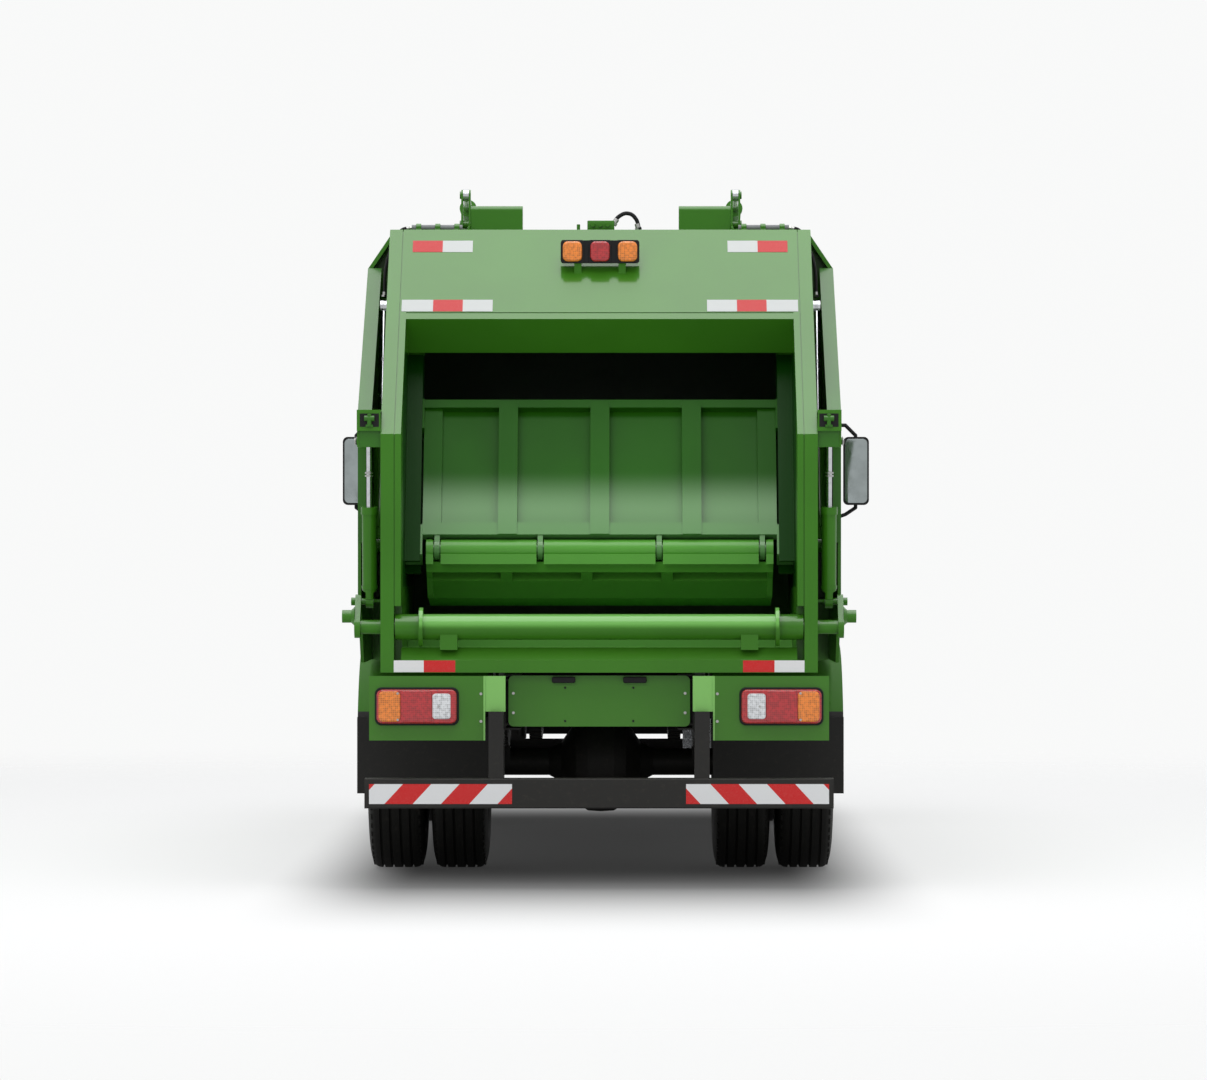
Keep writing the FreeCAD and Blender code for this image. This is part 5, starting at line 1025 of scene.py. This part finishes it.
def wiper(bm, pivot_x):
    """Arm and blade of a wiper parked along the foot of the windscreen."""
    reach, lean, blade_half = 0.430, 0.075, 0.265
    def on_glass(x, z, out):
        return Vector((x, screen_front_y(z) + out, z))
    foot = on_glass(pivot_x, wiper_foot_z, 0.006)
    head = on_glass(pivot_x + reach, wiper_foot_z + lean, 0.022)
    rod(bm, foot - Y * 0.012, foot + Y * 0.020, 0.019, 20)
    rod(bm, foot + Y * 0.012, head, 0.0075, 10)
    start = on_glass(head.x - blade_half, head.z - 0.012, 0.010)
    end = on_glass(head.x + blade_half, head.z + 0.012, 0.010)
    rod(bm, start, end, 0.0065, 8)
    rod(bm, start + Y * 0.010, end + Y * 0.010, 0.0045, 8)
    for share in (0.2, 0.5, 0.8):
        at = start.lerp(end, share)
        cube(bm, at - Vector((0.016, 0.002, 0.007)), at + Vector((0.016, 0.017, 0.007)))


wipers = bmesh.new()
wiper(wipers, -0.620)
wiper(wipers, 0.180)
piece("windscreen_wipers", wipers, black_plastic, "cab")

# Camera, floor and light, as for the photograph

def look():
    """The photograph's view: level, from straight behind, through a long lens."""
    camera = bpy.data.cameras.new("view_camera")
    camera.lens = 159.4
    camera.sensor_width = 36
    camera.shift_x = -0.0203
    camera.shift_y = 0.0133
    camera.clip_end = 300
    made = bpy.data.objects.new("view_camera", camera)
    made.location = (0.13, -27.85, 1.5)
    made.rotation_euler = (radians(90), 0, 0)
    bpy.context.scene.collection.objects.link(made)
    bpy.context.scene.camera = made


def grey(value):
    return (value, value, value, 1)


def floor_finish():
    """A pale floor with a painted shadow under the truck, which fades into the background far out."""
    shader = Shader("studio_floor")
    x, y, _ = shader.axes()
    far = (x * x + y * y) ** 0.5
    # A painted shadow: the floor's colour and glow go dark under the truck.
    under = x.absolute().ramp(0.85, 1.55, 1.0, 0.0) * y.ramp(-6.8, -2.3) * y.ramp(2.6, 6.0, 1.0, 0.0) * 0.94
    shader.set(Base_Color=shader.mix(grey(0.42), grey(0.02), under), Roughness=0.9, Specular_IOR_Level=0.1,
               Emission_Color=shader.mix(grey(0.50), grey(0.0), under), Emission_Strength=1.0)
    clear = shader.tree.nodes.new("ShaderNodeBsdfTransparent")
    blend = shader.tree.nodes.new("ShaderNodeMixShader")
    output = shader.tree.nodes["Material Output"]
    shader.feed(blend.inputs[0], far.ramp(6.0, 15.0))
    shader.tree.links.new(shader.surface.outputs[0], blend.inputs[1])
    shader.tree.links.new(clear.outputs[0], blend.inputs[2])
    shader.tree.links.new(blend.outputs[0], output.inputs[0])
    return shader.material


def studio():
    """The floor, a pale room that camera, glass and metal see brighter than it lights, and three lamps."""
    bm = bmesh.new()
    bmesh.ops.create_circle(bm, cap_ends=True, segments=96, radius=16)
    mesh = bpy.data.meshes.new("floor")
    bm.to_mesh(mesh)
    bm.free()
    mesh.materials.append(floor_finish())
    floor = bpy.data.objects.new("floor", mesh)
    bpy.context.scene.collection.objects.link(floor)
    world = bpy.data.worlds.new("pale_room")
    world.use_nodes = True
    tree = world.node_tree
    shell = tree.nodes["Background"]
    shell.inputs[0].default_value = (0.96, 0.98, 1.0, 1)
    shell.inputs[1].default_value = 0.55
    seen = tree.nodes.new("ShaderNodeBackground")
    seen.inputs[0].default_value = (0.945, 0.95, 0.947, 1)
    seen.inputs[1].default_value = 1.0
    path = tree.nodes.new("ShaderNodeLightPath")
    straight = path.outputs["Is Camera Ray"]
    for other in ("Is Transmission Ray", "Is Glossy Ray"):
        either = tree.nodes.new("ShaderNodeMath")
        either.operation = "MAXIMUM"
        tree.links.new(straight, either.inputs[0])
        tree.links.new(path.outputs[other], either.inputs[1])
        straight = either.outputs[0]
    mixed = tree.nodes.new("ShaderNodeMixShader")
    tree.links.new(straight, mixed.inputs[0])
    tree.links.new(shell.outputs[0], mixed.inputs[1])
    tree.links.new(seen.outputs[0], mixed.inputs[2])
    tree.links.new(mixed.outputs[0], tree.nodes["World Output"].inputs[0])
    bpy.context.scene.world = world
    for name, at, size, power in (("ceiling_light", (0, -3, 11), (9, 14), 950),
                                  ("rear_light", (-4, -17, 8), (8, 5), 420),
                                  ("front_light", (4, 17, 8), (8, 5), 420)):
        light = bpy.data.lights.new(name, "AREA")
        light.shape = "RECTANGLE"
        light.size, light.size_y = size
        light.energy = power
        lamp = bpy.data.objects.new(name, light)
        lamp.location = at
        toward = Vector((0, 0, 1.4)) - Vector(at)
        lamp.rotation_euler = toward.to_track_quat("-Z", "Y").to_euler()
        lamp.visible_glossy = name == "ceiling_light"
        bpy.context.scene.collection.objects.link(lamp)


look()
studio()
bpy.context.scene.view_settings.view_transform = "Standard"
